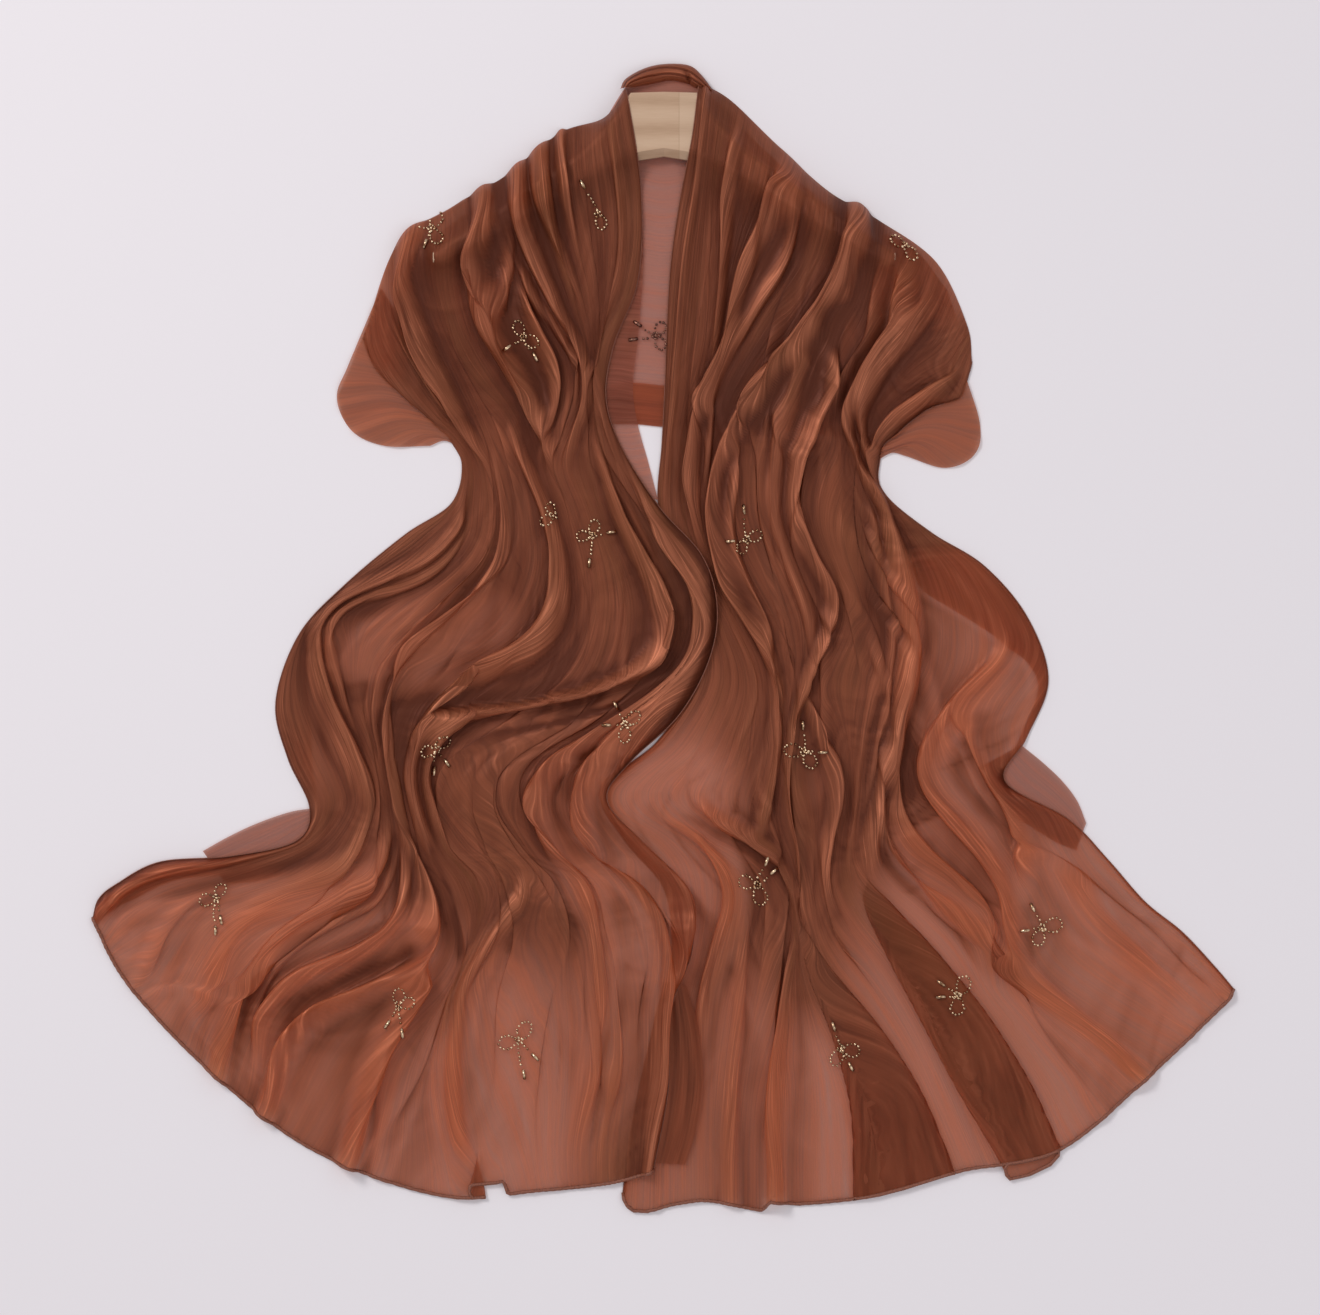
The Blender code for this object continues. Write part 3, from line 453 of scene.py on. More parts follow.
# Bows: name, place in plan steps, size, the angles of two loops, then an angle and length in
# millimetres for each of two tails. Angles are in degrees from the bow's own right, counted left round.
BOWS = (
    ("bow_01", (432, 229), 0.85, (60, 300), ((180, 9), (255, 5))),
    ("bow_02", (598, 214), 0.80, (290, None), ((110, 16), None)),
    ("bow_03", (524, 337), 0.80, (120, 330), ((230, 8), (285, 10))),
    ("bow_04", (656, 336), 0.74, (60, 300), ((160, 9), (200, 10))),
    ("bow_05", (904, 247), 0.76, (150, 310), (None, None)),
    ("bow_06", (553, 516), 0.66, (110, 215), (None, None)),
    ("bow_07", (592, 535), 0.80, (75, 185), ((272, 14), (352, 7))),
    ("bow_08", (747, 540), 0.84, (25, 235), ((107, 16), (200, 5))),
    ("bow_09", (437, 748), 0.78, (40, 200), ((250, 10), (290, 6))),
    ("bow_10", (626, 725), 0.90, (45, 262), ((165, 7), (120, 9))),
    ("bow_11", (804, 752), 0.92, (172, 305), ((78, 13), (15, 6))),
    ("bow_12", (757, 885), 1.00, (165, 285), ((82, 12), (27, 9))),
    ("bow_13", (217, 898), 0.82, (65, 190), ((287, 9), (252, 17))),
    ("bow_14", (400, 1005), 0.84, (90, 20), ((238, 9), (275, 13))),
    ("bow_15", (519, 1040), 1.05, (62, 190), ((318, 10), (264, 19))),
    ("bow_16", (841, 1048), 0.95, (350, 245), ((115, 10), (290, 8))),
    ("bow_17", (957, 995), 1.00, (60, 270), ((195, 5), (135, 8))),
    ("bow_18", (1042, 928), 0.95, (15, 250), ((105, 10), (175, 6))),
)
SHOWS_ITS_BACK = "bow_04"
BEAD_RADIUS = 0.00105
BEAD_STEP = 0.0030
KNOT_BEADS = 5
KNOT_RADIUS = 0.0024
TAIL_START = 0.0035
LOOP_LENGTH = 0.0165
LOOP_SPREAD = 1.75
BUGLE_LENGTH = 0.0080
BUGLE_RADIUS = 0.0014
BUGLE_RIM = 0.00042
BUGLE_SIDES = 10
BUGLE_GAP = 0.0010

# Flat pleats: their reach in columns, the sections over which they begin and the columns over which the
# edge of their double part fades. A pleat throws its columns by t - t ** 3, which turns back at
# PLEAT_BEND and reaches 1 / PLEAT_GAIN there.
PLEAT_REACH = 0.24
PLEAT_FADE = 0.8
PLEAT_EDGE = 0.04
PLEAT_BEND = 0.577
PLEAT_GAIN = 2.598

# The roll at the nape. Grooves are placed across it from -1 to 1, and the notch along it from 0 to 1.
NAPE_POINTS = (120, 40)
NAPE_HEIGHT = 0.0072
NAPE_GROOVES = (-0.4, 0.25)
GROOVE_WIDTH = 0.10
NOTCH_PLACE = 0.66
NOTCH_WIDTH = 0.030

# Streaks of the cloth, as changes in each metre across and along the threads.
FINE_STREAKS = (760, 16)
MIDDLE_STREAKS = (230, 8)
BROAD_STREAKS = (42, 4)
COLOUR_DRIFT = (17, 5)
# What each point of a sheet tells the cloth's material, each from 0 to 1: how much it is on a fold,
# where highlights are painted; how much shade is painted on it, in valleys, hollows and creases; and how
# much cloth lies bunched there, which makes it less see-through and adds painted shade.
STATES = ("fold", "painted_shade", "dense")
# The two boards of the hanger are glued a little right of the neck's middle.
GLUE_LINE_PLACE = 679
GLUE_LINE_WIDTH = 0.0005


def plan(points):
    """Turn plan steps into metres in the part's frame."""
    points = np.asarray(points, float)
    x = (points[..., 0] - PLAN_CENTRE[0]) * PLAN_STEP
    y = (PLAN_CENTRE[1] - points[..., 1]) * PLAN_STEP
    return np.stack([x, y], axis=-1)


def smooth_step(t):
    t = np.clip(t, 0, 1)
    return t * t * (3 - 2 * t)


def spline(a, b, c, d, t):
    """Catmull-Rom between b and c."""
    bend = (2 * a - 5 * b + 4 * c - d) * t ** 2 + (3 * b - a - 3 * c + d) * t ** 3
    return 0.5 * (2 * b + (c - a) * t + bend)


def run_on(values):
    """The same values with one more at each end, carried straight on."""
    return np.concatenate([2 * values[:1] - values[1:2], values, 2 * values[-1:] - values[-2:-1]])


def smooth_through(values, places):
    """Read a smooth curve through evenly spaced values at fractional places along it."""
    places = np.asarray(places, float)
    lower = np.clip(np.floor(places).astype(int), 0, len(values) - 2)
    t = (places - lower).reshape((-1,) + (1,) * (values.ndim - 1))
    padded = run_on(values)
    return spline(*(padded[lower + k] for k in range(4)), t)


def across_rows(rows, columns):
    """Plan points on each row of a net at that row's own fractional columns."""
    lower = np.clip(np.floor(columns).astype(int), 0, rows.shape[1] - 2)
    padded = run_on(rows.swapaxes(0, 1)).swapaxes(0, 1)
    at = np.arange(len(rows))[:, None]
    return spline(*(padded[at, lower + k] for k in range(4)), (columns - lower)[..., None])


def line_through(pairs, along, reach=0.7):
    """A value along the net through pairs of section and value, with its corners rounded."""
    sections = [pair[0] for pair in pairs]
    values = [pair[1] for pair in pairs]
    offsets = np.linspace(-reach / 2, reach / 2, 7)
    return np.mean([np.interp(along + offset, sections, values) for offset in offsets], axis=0)


def soft_noise(u, v, seed):
    """Smooth noise from -1 to 1 that changes over about one unit of u and of v."""
    size = 128
    lattice = np.random.default_rng(seed).uniform(-1, 1, (size, size))
    ui, vi = np.floor(u).astype(int), np.floor(v).astype(int)
    tu, tv = smooth_step(u - ui), smooth_step(v - vi)
    near, far = (
        lattice[ui % size, row % size] * (1 - tu) + lattice[(ui + 1) % size, row % size] * tu
        for row in (vi, vi + 1))
    return near * (1 - tv) + far * tv


def ridged(u, v, seed):
    """Noise from 0 to 1 with narrow crests."""
    return (1 - np.abs(soft_noise(u, v, seed))) ** 2


def blurred(values, reach):
    """Running mean over a square of points."""
    for axis in (0, 1):
        pad = [(0, 0), (0, 0)]
        pad[axis] = (reach + 1, reach)
        sums = np.cumsum(np.pad(values, pad, mode="edge"), axis=axis)
        upper = np.take(sums, range(2 * reach + 1, sums.shape[axis]), axis=axis)
        lower = np.take(sums, range(0, sums.shape[axis] - 2 * reach - 1), axis=axis)
        values = (upper - lower) / (2 * reach + 1)
    return values


def four_around(values):
    return [np.roll(values, shift, axis) for shift in (-1, 1) for axis in (0, 1)]


class HeightMap:
    """How high the pieces laid so far reach over the table."""

    def __init__(self):
        self.count = int(2 * MAP_REACH / MAP_CELL) + 1
        self.heights = np.zeros((self.count, self.count))

    def add_patch(self, patch):
        """Lay a patch on the map, and fill the cells that its points leave out."""
        points = patch["points"].reshape(-1, 3)
        added = np.zeros_like(self.heights)
        cell = np.clip(((points[:, :2] + MAP_REACH) / MAP_CELL + 0.5).astype(int), 0, self.count - 1)
        np.maximum.at(added, (cell[:, 0], cell[:, 1]), points[:, 2])
        for _ in range(2):
            around = np.max(four_around(added), axis=0)
            found = np.sum([near > 0 for near in four_around(added)], axis=0)
            added = np.where((added == 0) & (found >= 2), around, added)
        self.heights = np.maximum(self.heights, added)

    def add_object(self, piece):
        tree = tree_of(piece)
        corners = np.array([tuple(vertex.co) for vertex in piece.data.vertices])
        low, high = corners.min(0) - MAP_CELL, corners.max(0) + MAP_CELL
        places = -MAP_REACH + MAP_CELL * np.arange(self.count)
        for i in np.nonzero((places > low[0]) & (places < high[0]))[0]:
            for j in np.nonzero((places > low[1]) & (places < high[1]))[0]:
                hit = tree.ray_cast(Vector((places[i], places[j], 1.0)), Vector((0, 0, -1)))[0]
                if hit is not None:
                    self.heights[i, j] = max(self.heights[i, j], hit.z)

    def bridged(self, passes):
        """The same heights with the cloth's stiffness carried over their edges and hollows."""
        smooth = self.heights.copy()
        for _ in range(passes):
            smooth = np.maximum(self.heights, np.mean(four_around(smooth), axis=0))
        return smooth

    def at(self, heights, points):
        """Heights at plan points, read between the cells."""
        cell = np.clip((points + MAP_REACH) / MAP_CELL, 0, self.count - 1.001)
        low = cell.astype(int)
        t = cell - low
        i, j = low[..., 0], low[..., 1]
        near, far = (
            heights[i, row] * (1 - t[..., 0]) + heights[i + 1, row] * t[..., 0] for row in (j, j + 1))
        return near * (1 - t[..., 1]) + far * t[..., 1]


def tree_of(piece):
    shaped = bmesh.new()
    shaped.from_mesh(piece.data)
    tree = BVHTree.FromBMesh(shaped)
    shaped.free()
    return tree


def new_piece(name, mesh, material):
    """A smooth object with one material, in the scene."""
    mesh.shade_smooth()
    mesh.materials.append(material)
    piece = bpy.data.objects.new(name, mesh)
    bpy.context.collection.objects.link(piece)
    return piece


def grid_faces(rows, columns, start=0):
    corner = (np.arange(rows - 1)[:, None] * columns + np.arange(columns - 1)).ravel() + start
    return np.column_stack([corner, corner + columns, corner + columns + 1, corner + 1])


def sheet_object(name, patches, material):
    """One mesh from patches, each a grid of points with thread coordinates and the state of its folds."""
    points, threads, faces = [], [], []
    start = 0
    for patch in patches:
        rows, columns = patch["points"].shape[:2]
        faces.append(grid_faces(rows, columns, start))
        points.append(patch["points"].reshape(-1, 3))
        threads.append(patch["threads"].reshape(-1, 2))
        start += rows * columns
    points, threads, faces = np.concatenate(points), np.concatenate(threads), np.concatenate(faces)
    mesh = bpy.data.meshes.new(name)
    mesh.from_pydata(points.tolist(), [], faces.tolist())
    layer = mesh.uv_layers.new(name="threads")
    layer.data.foreach_set("uv", threads[faces.ravel()].astype(np.float32).ravel())
    for state in STATES:
        attribute = mesh.attributes.new(state, "FLOAT", "POINT")
        values = np.concatenate([patch[state].ravel() for patch in patches])
        attribute.data.foreach_set("value", values.astype(np.float32))
    return new_piece(name, mesh, material)


def tube_object(name, lines, radius, material, sides=8, lump=0.0):
    """Closed tubes along lines of points, as one mesh."""
    vertices, faces = [], []
    for line in lines:
        tangent = np.gradient(line, axis=0)
        tangent /= np.linalg.norm(tangent, axis=1)[:, None]
        side = np.cross(tangent, (0, 0, 1.0))
        side /= np.linalg.norm(side, axis=1)[:, None]
        up = np.cross(side, tangent)
        turn = np.arange(sides) / sides * 2 * np.pi
        size = radius * (1 + lump * np.sin(np.arange(len(line)) * LUMP_TURN))
        ring = side[:, None] * np.cos(turn)[None, :, None] + up[:, None] * np.sin(turn)[None, :, None]
        ring = line[:, None] + ring * size[:, None, None]
        start = len(vertices)
        vertices += ring.reshape(-1, 3).tolist()
        for i in range(len(line) - 1):
            for k in range(sides):
                a, b = start + i * sides + k, start + i * sides + (k + 1) % sides
                faces.append((a, b, b + sides, a + sides))
        faces.append(tuple(start + k for k in reversed(range(sides))))
        faces.append(tuple(start + (len(line) - 1) * sides + k for k in range(sides)))
    mesh = bpy.data.meshes.new(name)
    mesh.from_pydata(vertices, [], faces)
    return new_piece(name, mesh, material)


# Materials

def tinted(colour, *shares):
    """A colour times one share, or times one for each of red, green and blue."""
    return tuple(k * share for k, share in zip(colour, shares if len(shares) == 3 else 3 * shares))


class Shading:
    """A material, with short ways to add to its nodes.

    A value is a number, a vector, a colour or the output of another node.
    """

    def __init__(self, name):
        self.material = bpy.data.materials.new(name)
        self.material.use_nodes = True
        self.nodes = self.material.node_tree.nodes
        self.shader = self.nodes["Principled BSDF"]

    def feed(self, node, values):
        """Give inputs of a node, by name or number, their values."""
        for key, value in values.items():
            socket = node.inputs[key]
            if isinstance(value, bpy.types.NodeSocket):
                self.material.node_tree.links.new(value, socket)
            elif socket.type == "RGBA":
                socket.default_value = (*value, 1)
            else:
                socket.default_value = value

    def add(self, kind, values, output=0, **settings):
        """Add a node, set it up and give back one of its outputs."""
        node = self.nodes.new("ShaderNode" + kind)
        for setting, value in settings.items():
            setattr(node, setting, value)
        self.feed(node, values)
        return node.outputs[output]

    def maths(self, operation, first, second=0.0):
        return self.add("Math", {0: first, 1: second}, operation=operation)

    def plus(self, first, second):
        return self.maths("ADD", first, second)

    def minus(self, first, second):
        return self.maths("SUBTRACT", first, second)

    def times(self, first, second):
        return self.maths("MULTIPLY", first, second)

    def noise(self, source, changes, detail=3.0):
        """Noise with so many changes in each metre of the source's first and second direction."""
        drawn = self.add("Mapping", {"Scale": (*changes, 1.0), "Vector": source})
        return self.add("TexNoise", {"Scale": 1.0, "Detail": detail, "Vector": drawn}, "Fac")

    def ramp(self, factor, *stops):
        node = self.nodes.new("ShaderNodeValToRGB")
        elements = node.color_ramp.elements
        while len(elements) < len(stops):
            elements.new(0.5)
        for element, (position, colour) in zip(elements, stops):
            element.position = position
            element.color = (*colour, 1)
        self.feed(node, {"Fac": factor})
        return node.outputs["Color"]

    def mixed(self, factor, first, second):
        """Two colours mixed, more of the second where the factor is higher."""
        node = self.nodes.new("ShaderNodeMix")
        node.data_type = "RGBA"
        colours = [i for i, socket in enumerate(node.inputs) if socket.type == "RGBA"]
        self.feed(node, {"Factor": factor, colours[0]: first, colours[1]: second})
        return [socket for socket in node.outputs if socket.type == "RGBA"][0]

    def bump(self, height, strength, distance):
        """Raise the surface's shading by a pattern."""
        raised = self.add("Bump", {"Strength": strength, "Distance": distance, "Height": height})
        self.feed(self.shader, {"Normal": raised})


def cloth_material(name, colour, painted_highlight, glow, threads_open, fold_open):
    """Sheer shot cloth, crinkled along its threads.

    colour is what its face sends back, painted_highlight the colour of bright streaks painted on its folds
    as highlight, and glow what light through it takes on. threads_open is the share of bare gaps where it
    lies flat, before the streaks close some, and fold_open that share on a fold. Shade between folds and
    on bunched cloth is painted into its colour as well.
    """
    made = Shading(name)
    plus, minus, times = made.plus, made.minus, made.times
    uv = made.add("UVMap", {}, "UV", uv_map="threads")
    fine, middle = (made.noise(uv, changes) for changes in (FINE_STREAKS, MIDDLE_STREAKS))
    broad, drift = (made.noise(uv, changes, 2.0) for changes in (BROAD_STREAKS, COLOUR_DRIFT))
    fold, painted_shade, dense = (made.add("Attribute", {}, "Fac", attribute_name=state) for state in STATES)

    # Streaks on the flat cloth, and on its folds the same streaks rising to a painted highlight
    streak = plus(times(fine, 0.45), times(middle, 0.55))
    tone = plus(times(streak, 0.84), times(broad, 0.16))
    half_painted_highlight = tuple(0.5 * k + 0.5 * g for k, g in zip(colour, painted_highlight))
    flat = made.ramp(tone, (0.40, tinted(colour, 0.62)), (0.50, colour), (0.60, tinted(colour, 1.30)))
    folded = made.ramp(tone, (0.38, tinted(colour, 0.56)), (0.51, half_painted_highlight), (0.61, painted_highlight))
    fold_highlight_and_tone = minus(plus(times(fold, 0.95), times(broad, 0.4)), 0.20)
    face = made.mixed(fold_highlight_and_tone, flat, folded)
    # Broad drifts to olive and to orange
    face = made.mixed(times(minus(drift, 0.50), 2.4), face, tinted(colour, 0.86, 1.04, 0.84))
    face = made.mixed(times(minus(0.46, drift), 1.4), face, tinted(painted_highlight, 0.62))
    # Painted shade on bunched cloth off the folds, painted sparkle of single threads,
    # and painted shade between folds
    face = made.mixed(times(times(dense, 0.25), minus(1.0, fold)), face, tinted(colour, 0.30))
    painted_sparkle = times(times(minus(fine, 0.56), 9.0), plus(times(fold, 0.8), 0.03))
    face = made.mixed(painted_sparkle, face, tinted(painted_highlight, 1.35))
    face = made.mixed(times(painted_shade, 0.80), face, tinted(colour, 0.26, 0.17, 0.13))
    made.feed(made.shader, {
        "Base Color": face,
        "Roughness": minus(0.66, times(streak, 0.32)),
        "Metallic": 0.45,
        "Specular IOR Level": 0.30,
    })
    made.bump(tone, 0.75, 0.0014)

    # Light through the cloth, and bare gaps between its threads
    closed = made.maths("MAXIMUM", times(dense, 0.8), painted_shade)
    through = made.add("BsdfTranslucent", {"Color": glow})
    face_and_back = {0: minus(0.42, times(closed, 0.32)), 1: made.shader.outputs["BSDF"], 2: through}
    opening = plus(times(fold, fold_open - threads_open), threads_open + 0.25)
    opening = times(minus(opening, times(tone, 0.50)), minus(1.0, closed))
    opening = made.add("Clamp", {"Min": 0.01, "Value": opening})
    gaps = made.add("BsdfTransparent", {})
    whole = made.add("MixShader", {0: opening, 1: made.add("MixShader", face_and_back), 2: gaps})
    made.feed(made.nodes["Material Output"], {"Surface": whole})
    return made.material


def rolled_edge_material():
    made = Shading("rolled_edge")
    twist = made.noise(made.add("TexCoord", {}, "Object"), (900, 900), 2.0)
    colour = made.ramp(twist, (0.35, (0.150, 0.045, 0.025)), (0.65, (0.290, 0.092, 0.048)))
    made.feed(made.shader, {"Base Color": colour, "Roughness": 0.55})
    made.bump(twist, 0.5, 0.0005)
    return made.material


def wood_material():
    """Pale wood with long rings, of two boards glued side by side, the right one paler."""
    made = Shading("pale_wood")
    position = made.add("TexCoord", {}, "Object")
    drawn = made.add("Mapping", {"Location": (0.02, -0.30, 0), "Scale": (0.35, 1.6, 1.0), "Vector": position})
    rings = made.add(
        "TexWave", {"Scale": 9.0, "Distortion": 2.2, "Detail": 2.5, "Detail Scale": 1.6, "Vector": drawn},
        "Fac", wave_type="RINGS", rings_direction="Z")
    grain = made.noise(position, (60, 900))
    colour = made.ramp(
        made.plus(made.times(rings, 0.55), made.times(grain, 0.45)),
        (0.10, (0.430, 0.265, 0.160)), (0.45, (0.530, 0.345, 0.222)), (0.85, (0.600, 0.410, 0.275)))
    x = made.add("SeparateXYZ", {"Vector": position})
    joint = (GLUE_LINE_PLACE - PLAN_CENTRE[0]) * PLAN_STEP
    beyond = made.maths("GREATER_THAN", x, joint)
    colour = made.mixed(made.times(beyond, 0.30), colour, (0.66, 0.47, 0.33))
    line = made.maths("LESS_THAN", made.maths("ABSOLUTE", made.minus(x, joint)), GLUE_LINE_WIDTH / 2)
    colour = made.mixed(made.times(line, 0.6), colour, (0.36, 0.22, 0.12))
    made.feed(made.shader, {"Base Color": colour, "Roughness": 0.52})
    made.bump(grain, 0.12, 0.0004)
    return made.material


def bead_material(name, dark, pale):
    made = Shading(name)
    shade = made.noise(made.add("TexCoord", {}, "Object"), (260, 260), 1.0)
    colour = made.ramp(shade, (0.38, dark), (0.60, pale))
    made.feed(made.shader, {"Base Color": colour, "Metallic": 1.0, "Roughness": made.times(shade, 0.45)})
    return made.material


def floor_material():
    made = Shading("plain_floor")
    made.feed(made.shader, {"Base Color": (0.880, 0.834, 0.864), "Roughness": 0.9, "Specular IOR Level": 0.1})
    return made.material


# Camera, light and floor

def set_up_view():
    middle = plan((VIEW_SIZE[0] / 2, VIEW_SIZE[1] / 2))
    data = bpy.data.cameras.new("camera")
    data.sensor_width = SENSOR_WIDTH
    data.lens = SENSOR_WIDTH * CAMERA_HEIGHT / (VIEW_SIZE[0] * PLAN_STEP)
    camera = bpy.data.objects.new("camera", data)
    camera.location = (middle[0], middle[1], CAMERA_HEIGHT)
    bpy.context.collection.objects.link(camera)
    bpy.context.scene.camera = camera


def area_light(name, place, size, power, colour):
    """A square lamp that shines on the middle of the cloth."""
    data = bpy.data.lights.new(name, "AREA")
    data.size = size
    data.energy = power
    data.color = colour
    light = bpy.data.objects.new(name, data)
    light.location = place
    light.rotation_euler = (-Vector(place)).to_track_quat("-Z", "Y").to_euler()
    bpy.context.collection.objects.link(light)


def set_up_stage():
    area_light("key", (-2.1, 1.9, 2.9), 1.1, 62, (1.0, 0.985, 0.97))
    area_light("fill", (1.6, -1.2, 2.4), 1.8, 10, (0.97, 0.98, 1.0))
    world = bpy.data.worlds.new("soft_room")
    world.use_nodes = True
    room = world.node_tree.nodes["Background"]
    room.inputs["Color"].default_value = (0.97, 0.97, 1.0, 1)
    room.inputs["Strength"].default_value = 0.55
    bpy.context.scene.world = world
    mesh = bpy.data.meshes.new("floor")
    corners = [(FLOOR_EDGE * x, FLOOR_EDGE * y, 0) for x, y in ((-1, -1), (1, -1), (1, 1), (-1, 1))]
    mesh.from_pydata(corners, [], [(0, 1, 2, 3)])
    floor = new_piece("floor", mesh, floor_material())
    floor.location.z = -FLOOR_DROP
    bpy.context.scene.view_settings.view_transform = "Standard"
    bpy.context.scene.cycles.transparent_max_bounces = 32


# Cloth

def simple_sheet(
        sections, size, lift, ground, seed, threads_along_rows=True, noise=PLAIN_RIPPLE, dense=0.0):
    """A plain stretch laid on the height map. size is its rows and columns of points."""
    rows, columns = size
    along = np.linspace(0, len(sections) - 1, rows)
    across = np.linspace(0, len(sections[0]) - 2, columns)
    net = smooth_through(plan([row[1:] for row in sections]), along)
    net = across_rows(net, np.tile(across, (rows, 1)))
    v, u = (
        np.pad(np.cumsum(np.linalg.norm(np.diff(net, axis=axis), axis=-1), axis=axis), padding)
        for axis, padding in ((0, ((1, 0), (0, 0))), (1, ((0, 0), (1, 0)))))
    if threads_along_rows:
        threads = np.dstack([np.broadcast_to(u.mean(0), u.shape), v])
    else:
        threads = np.dstack([np.broadcast_to(v.mean(1)[:, None], v.shape), u])
    ripple = soft_noise(threads[..., 0] / PLAIN_RIPPLE_WIDTH, threads[..., 1] / PLAIN_RIPPLE_LENGTH, seed)
    height = heights.at(ground, net) + lift + noise * (1 + ripple)
    none = np.zeros(net.shape[:2])
    return {
        "points": np.dstack([net, height]),
        "threads": threads,
        "fold": none,
        "painted_shade": none,
        "dense": none + dense,
    }


def nape_roll(ground):
    """The roll of cloth at the nape, with two grooves along it and a notch across."""
    patch = simple_sheet(NAPE_SECTIONS, NAPE_POINTS, LAID_LIFT, ground, 21)
    across = np.linspace(-1, 1, NAPE_POINTS[1])
    along = np.linspace(0, 1, NAPE_POINTS[0])[:, None]
    grooves = sum(
        np.exp(-((across - place + 0.14 * np.sin(7 * along + place)) / GROOVE_WIDTH) ** 2)
        for place in NAPE_GROOVES)
    notch = np.exp(-((along - NOTCH_PLACE - 0.05 * across) / NOTCH_WIDTH) ** 2) * np.clip(0.6 + across, 0, 1)
    roll = NAPE_HEIGHT * np.sqrt(np.clip(1 - across ** 2, 0, 1)) * (1 + 0.12 * np.sin(9 * along))
    roll = roll * (1 - 0.35 * np.clip(grooves, 0, 1)) * (1 - 0.6 * notch)
    patch["points"][..., 2] += roll
    # Painted highlight along the roll's top away from the grooves, and painted shade in the grooves and notch
    patch["fold"] = 0.6 * (1 - across ** 2) * (1 - np.clip(grooves, 0, 1)) + 0 * along
    patch["painted_shade"] = np.clip(0.7 * grooves + notch, 0, 1)
    patch["dense"] = 0.8 + 0 * roll
    return patch


class FrontNet:
    """A front's net in the plan: rows along it, and columns that its folds follow."""

    def __init__(self, sections):
        self.last = len(sections) - 1
        self.top = len(sections[0]) - 2
        self.along = np.linspace(0, self.last, self.last * ROWS_IN_A_SECTION + 1)
        self.rows = smooth_through(plan([row[1:] for row in sections]), self.along)
        self.fine = np.linspace(-0.5, self.top + 0.5, FINE_STEPS * (self.top + 1) + 1)
        spread = across_rows(self.rows, np.tile(self.fine, (len(self.rows), 1)))
        steps = np.linalg.norm(np.diff(spread, axis=1), axis=-1)
        self.reach = np.pad(np.cumsum(steps, axis=1), ((0, 0), (1, 0)))
        cells = WIDE_STEPS * (self.top + 2 * WIDE_MARGIN)
        self.wide = np.linspace(-WIDE_MARGIN, self.top + WIDE_MARGIN, cells + 1)

    def line(self, pairs):
        """A value for each row, as a column of numbers."""
        return line_through(pairs, self.along)[:, None]

    def distance(self, columns):
        """How far across the cloth columns lie on each row."""
        return np.array([np.interp(v, self.fine, r) for v, r in zip(columns, self.reach)])

    def across(self, columns):
        """Steps over the columns, on each row."""
        after = across_rows(self.rows, columns + DIRECTION_REACH)
        return after - across_rows(self.rows, columns - DIRECTION_REACH)

    def crest(self, points):
        """Sections and columns under a crest drawn in plan steps, in order along it."""
        line = smooth_through(plan(points), np.linspace(0, len(points) - 1, CREST_STEPS * len(points)))
        columns = np.linspace(-0.4, self.top + 0.4, COARSE_STEPS * self.top + 1)
        coarse = self.along[::COARSE_ROWS]
        grid = across_rows(self.rows[::COARSE_ROWS], np.tile(columns, (len(coarse), 1)))
        found = []
        for point in line:
            i, j = np.unravel_index(np.argmin(np.sum((grid - point) ** 2, axis=-1)), grid.shape[:2])
            i, j = np.clip(i, 1, grid.shape[0] - 2), np.clip(j, 1, grid.shape[1] - 2)
            onward = (grid[i + 1, j] - grid[i - 1, j]) / 2
            sideways = (grid[i, j + 1] - grid[i, j - 1]) / 2
            on, over = np.linalg.solve(np.column_stack([onward, sideways]), point - grid[i, j])
            section = coarse[i] + on * (coarse[1] - coarse[0])
            found.append((section, columns[j] + over * (columns[1] - columns[0])))
        found = np.array(sorted(found))
        return found[:, 0], np.clip(found[:, 1], -0.2, self.top + 0.2)

    def steepness(self, line):
        """How squarely a crest crosses the rows: 1 along a column, less where it slants over them."""
        onward = np.gradient(across_rows(self.rows, line[:, None])[:, 0], axis=0)
        across = self.across(line[:, None])[:, 0]
        turned = onward[:, 0] * across[:, 1] - onward[:, 1] * across[:, 0]
        lengths = np.linalg.norm(onward, axis=1) * np.linalg.norm(across, axis=1) + 1e-12
        steep = np.convolve(np.pad(np.abs(turned) / lengths, 4, mode="edge"), np.ones(9) / 9, mode="valid")
        return np.clip(steep, FLATTEST_SLANT, 1)


def fold_rows(net, folds, seed):
    """The traced folds, narrower ones beside them, and fine ones strewn over the whole front.

    Each is a height, half width, throw and distance aside in millimetres, and the crest's sections and
    columns. Gives back all of them and how many are traced.
    """
    rng = np.random.default_rng(seed)
    traced = [
        (height, half_width, lean, 0, *net.crest(crest)) for _, height, half_width, lean, *crest in folds]
    made = list(traced)
    for height, half_width, lean, _, sections, columns in traced:
        for side in (-1, 1):
            begin = sections[0] + rng.uniform(0, 1.4)
            end = sections[-1] - rng.uniform(0, 1.8)
            share_here = BESIDE_SHARE * (SHOULDER_SHARE if sections[0] < 3 else 1)
            if height < 0 or end - begin < FADE or rng.uniform() > share_here:
                continue
            part = np.arange(begin, end, 0.3)
            share = rng.uniform(*BESIDE_SIZES)
            throw = lean * share * rng.uniform(0.6, 1.3)
            aside = side * half_width * rng.uniform(0.9, 1.35)
            beside = np.interp(part, sections, columns)
            made.append((height * share, half_width * share * 1.25, throw, aside, part, beside))
    for _ in range(FINE_FOLDS):
        begin = (net.last - 0.5) * rng.uniform() ** 0.7 - 1
        length = rng.uniform(*FINE_LENGTHS)
        column, drift = rng.uniform(0.2, net.top - 0.2), rng.uniform(-0.12, 0.12)
        part = np.arange(begin, begin + length, 0.4)
        half_width = rng.uniform(*FINE_HALF_WIDTHS)
        height = half_width * rng.uniform(0.10, 0.32)
        throw = half_width * rng.uniform(-1.15, 1.15)
        wavy = column + drift * (part - begin) + 0.10 * np.sin(part * 1.3 + column * 5)
        made.append((height, half_width, throw, 0, part, wavy))
    return made, len(traced)


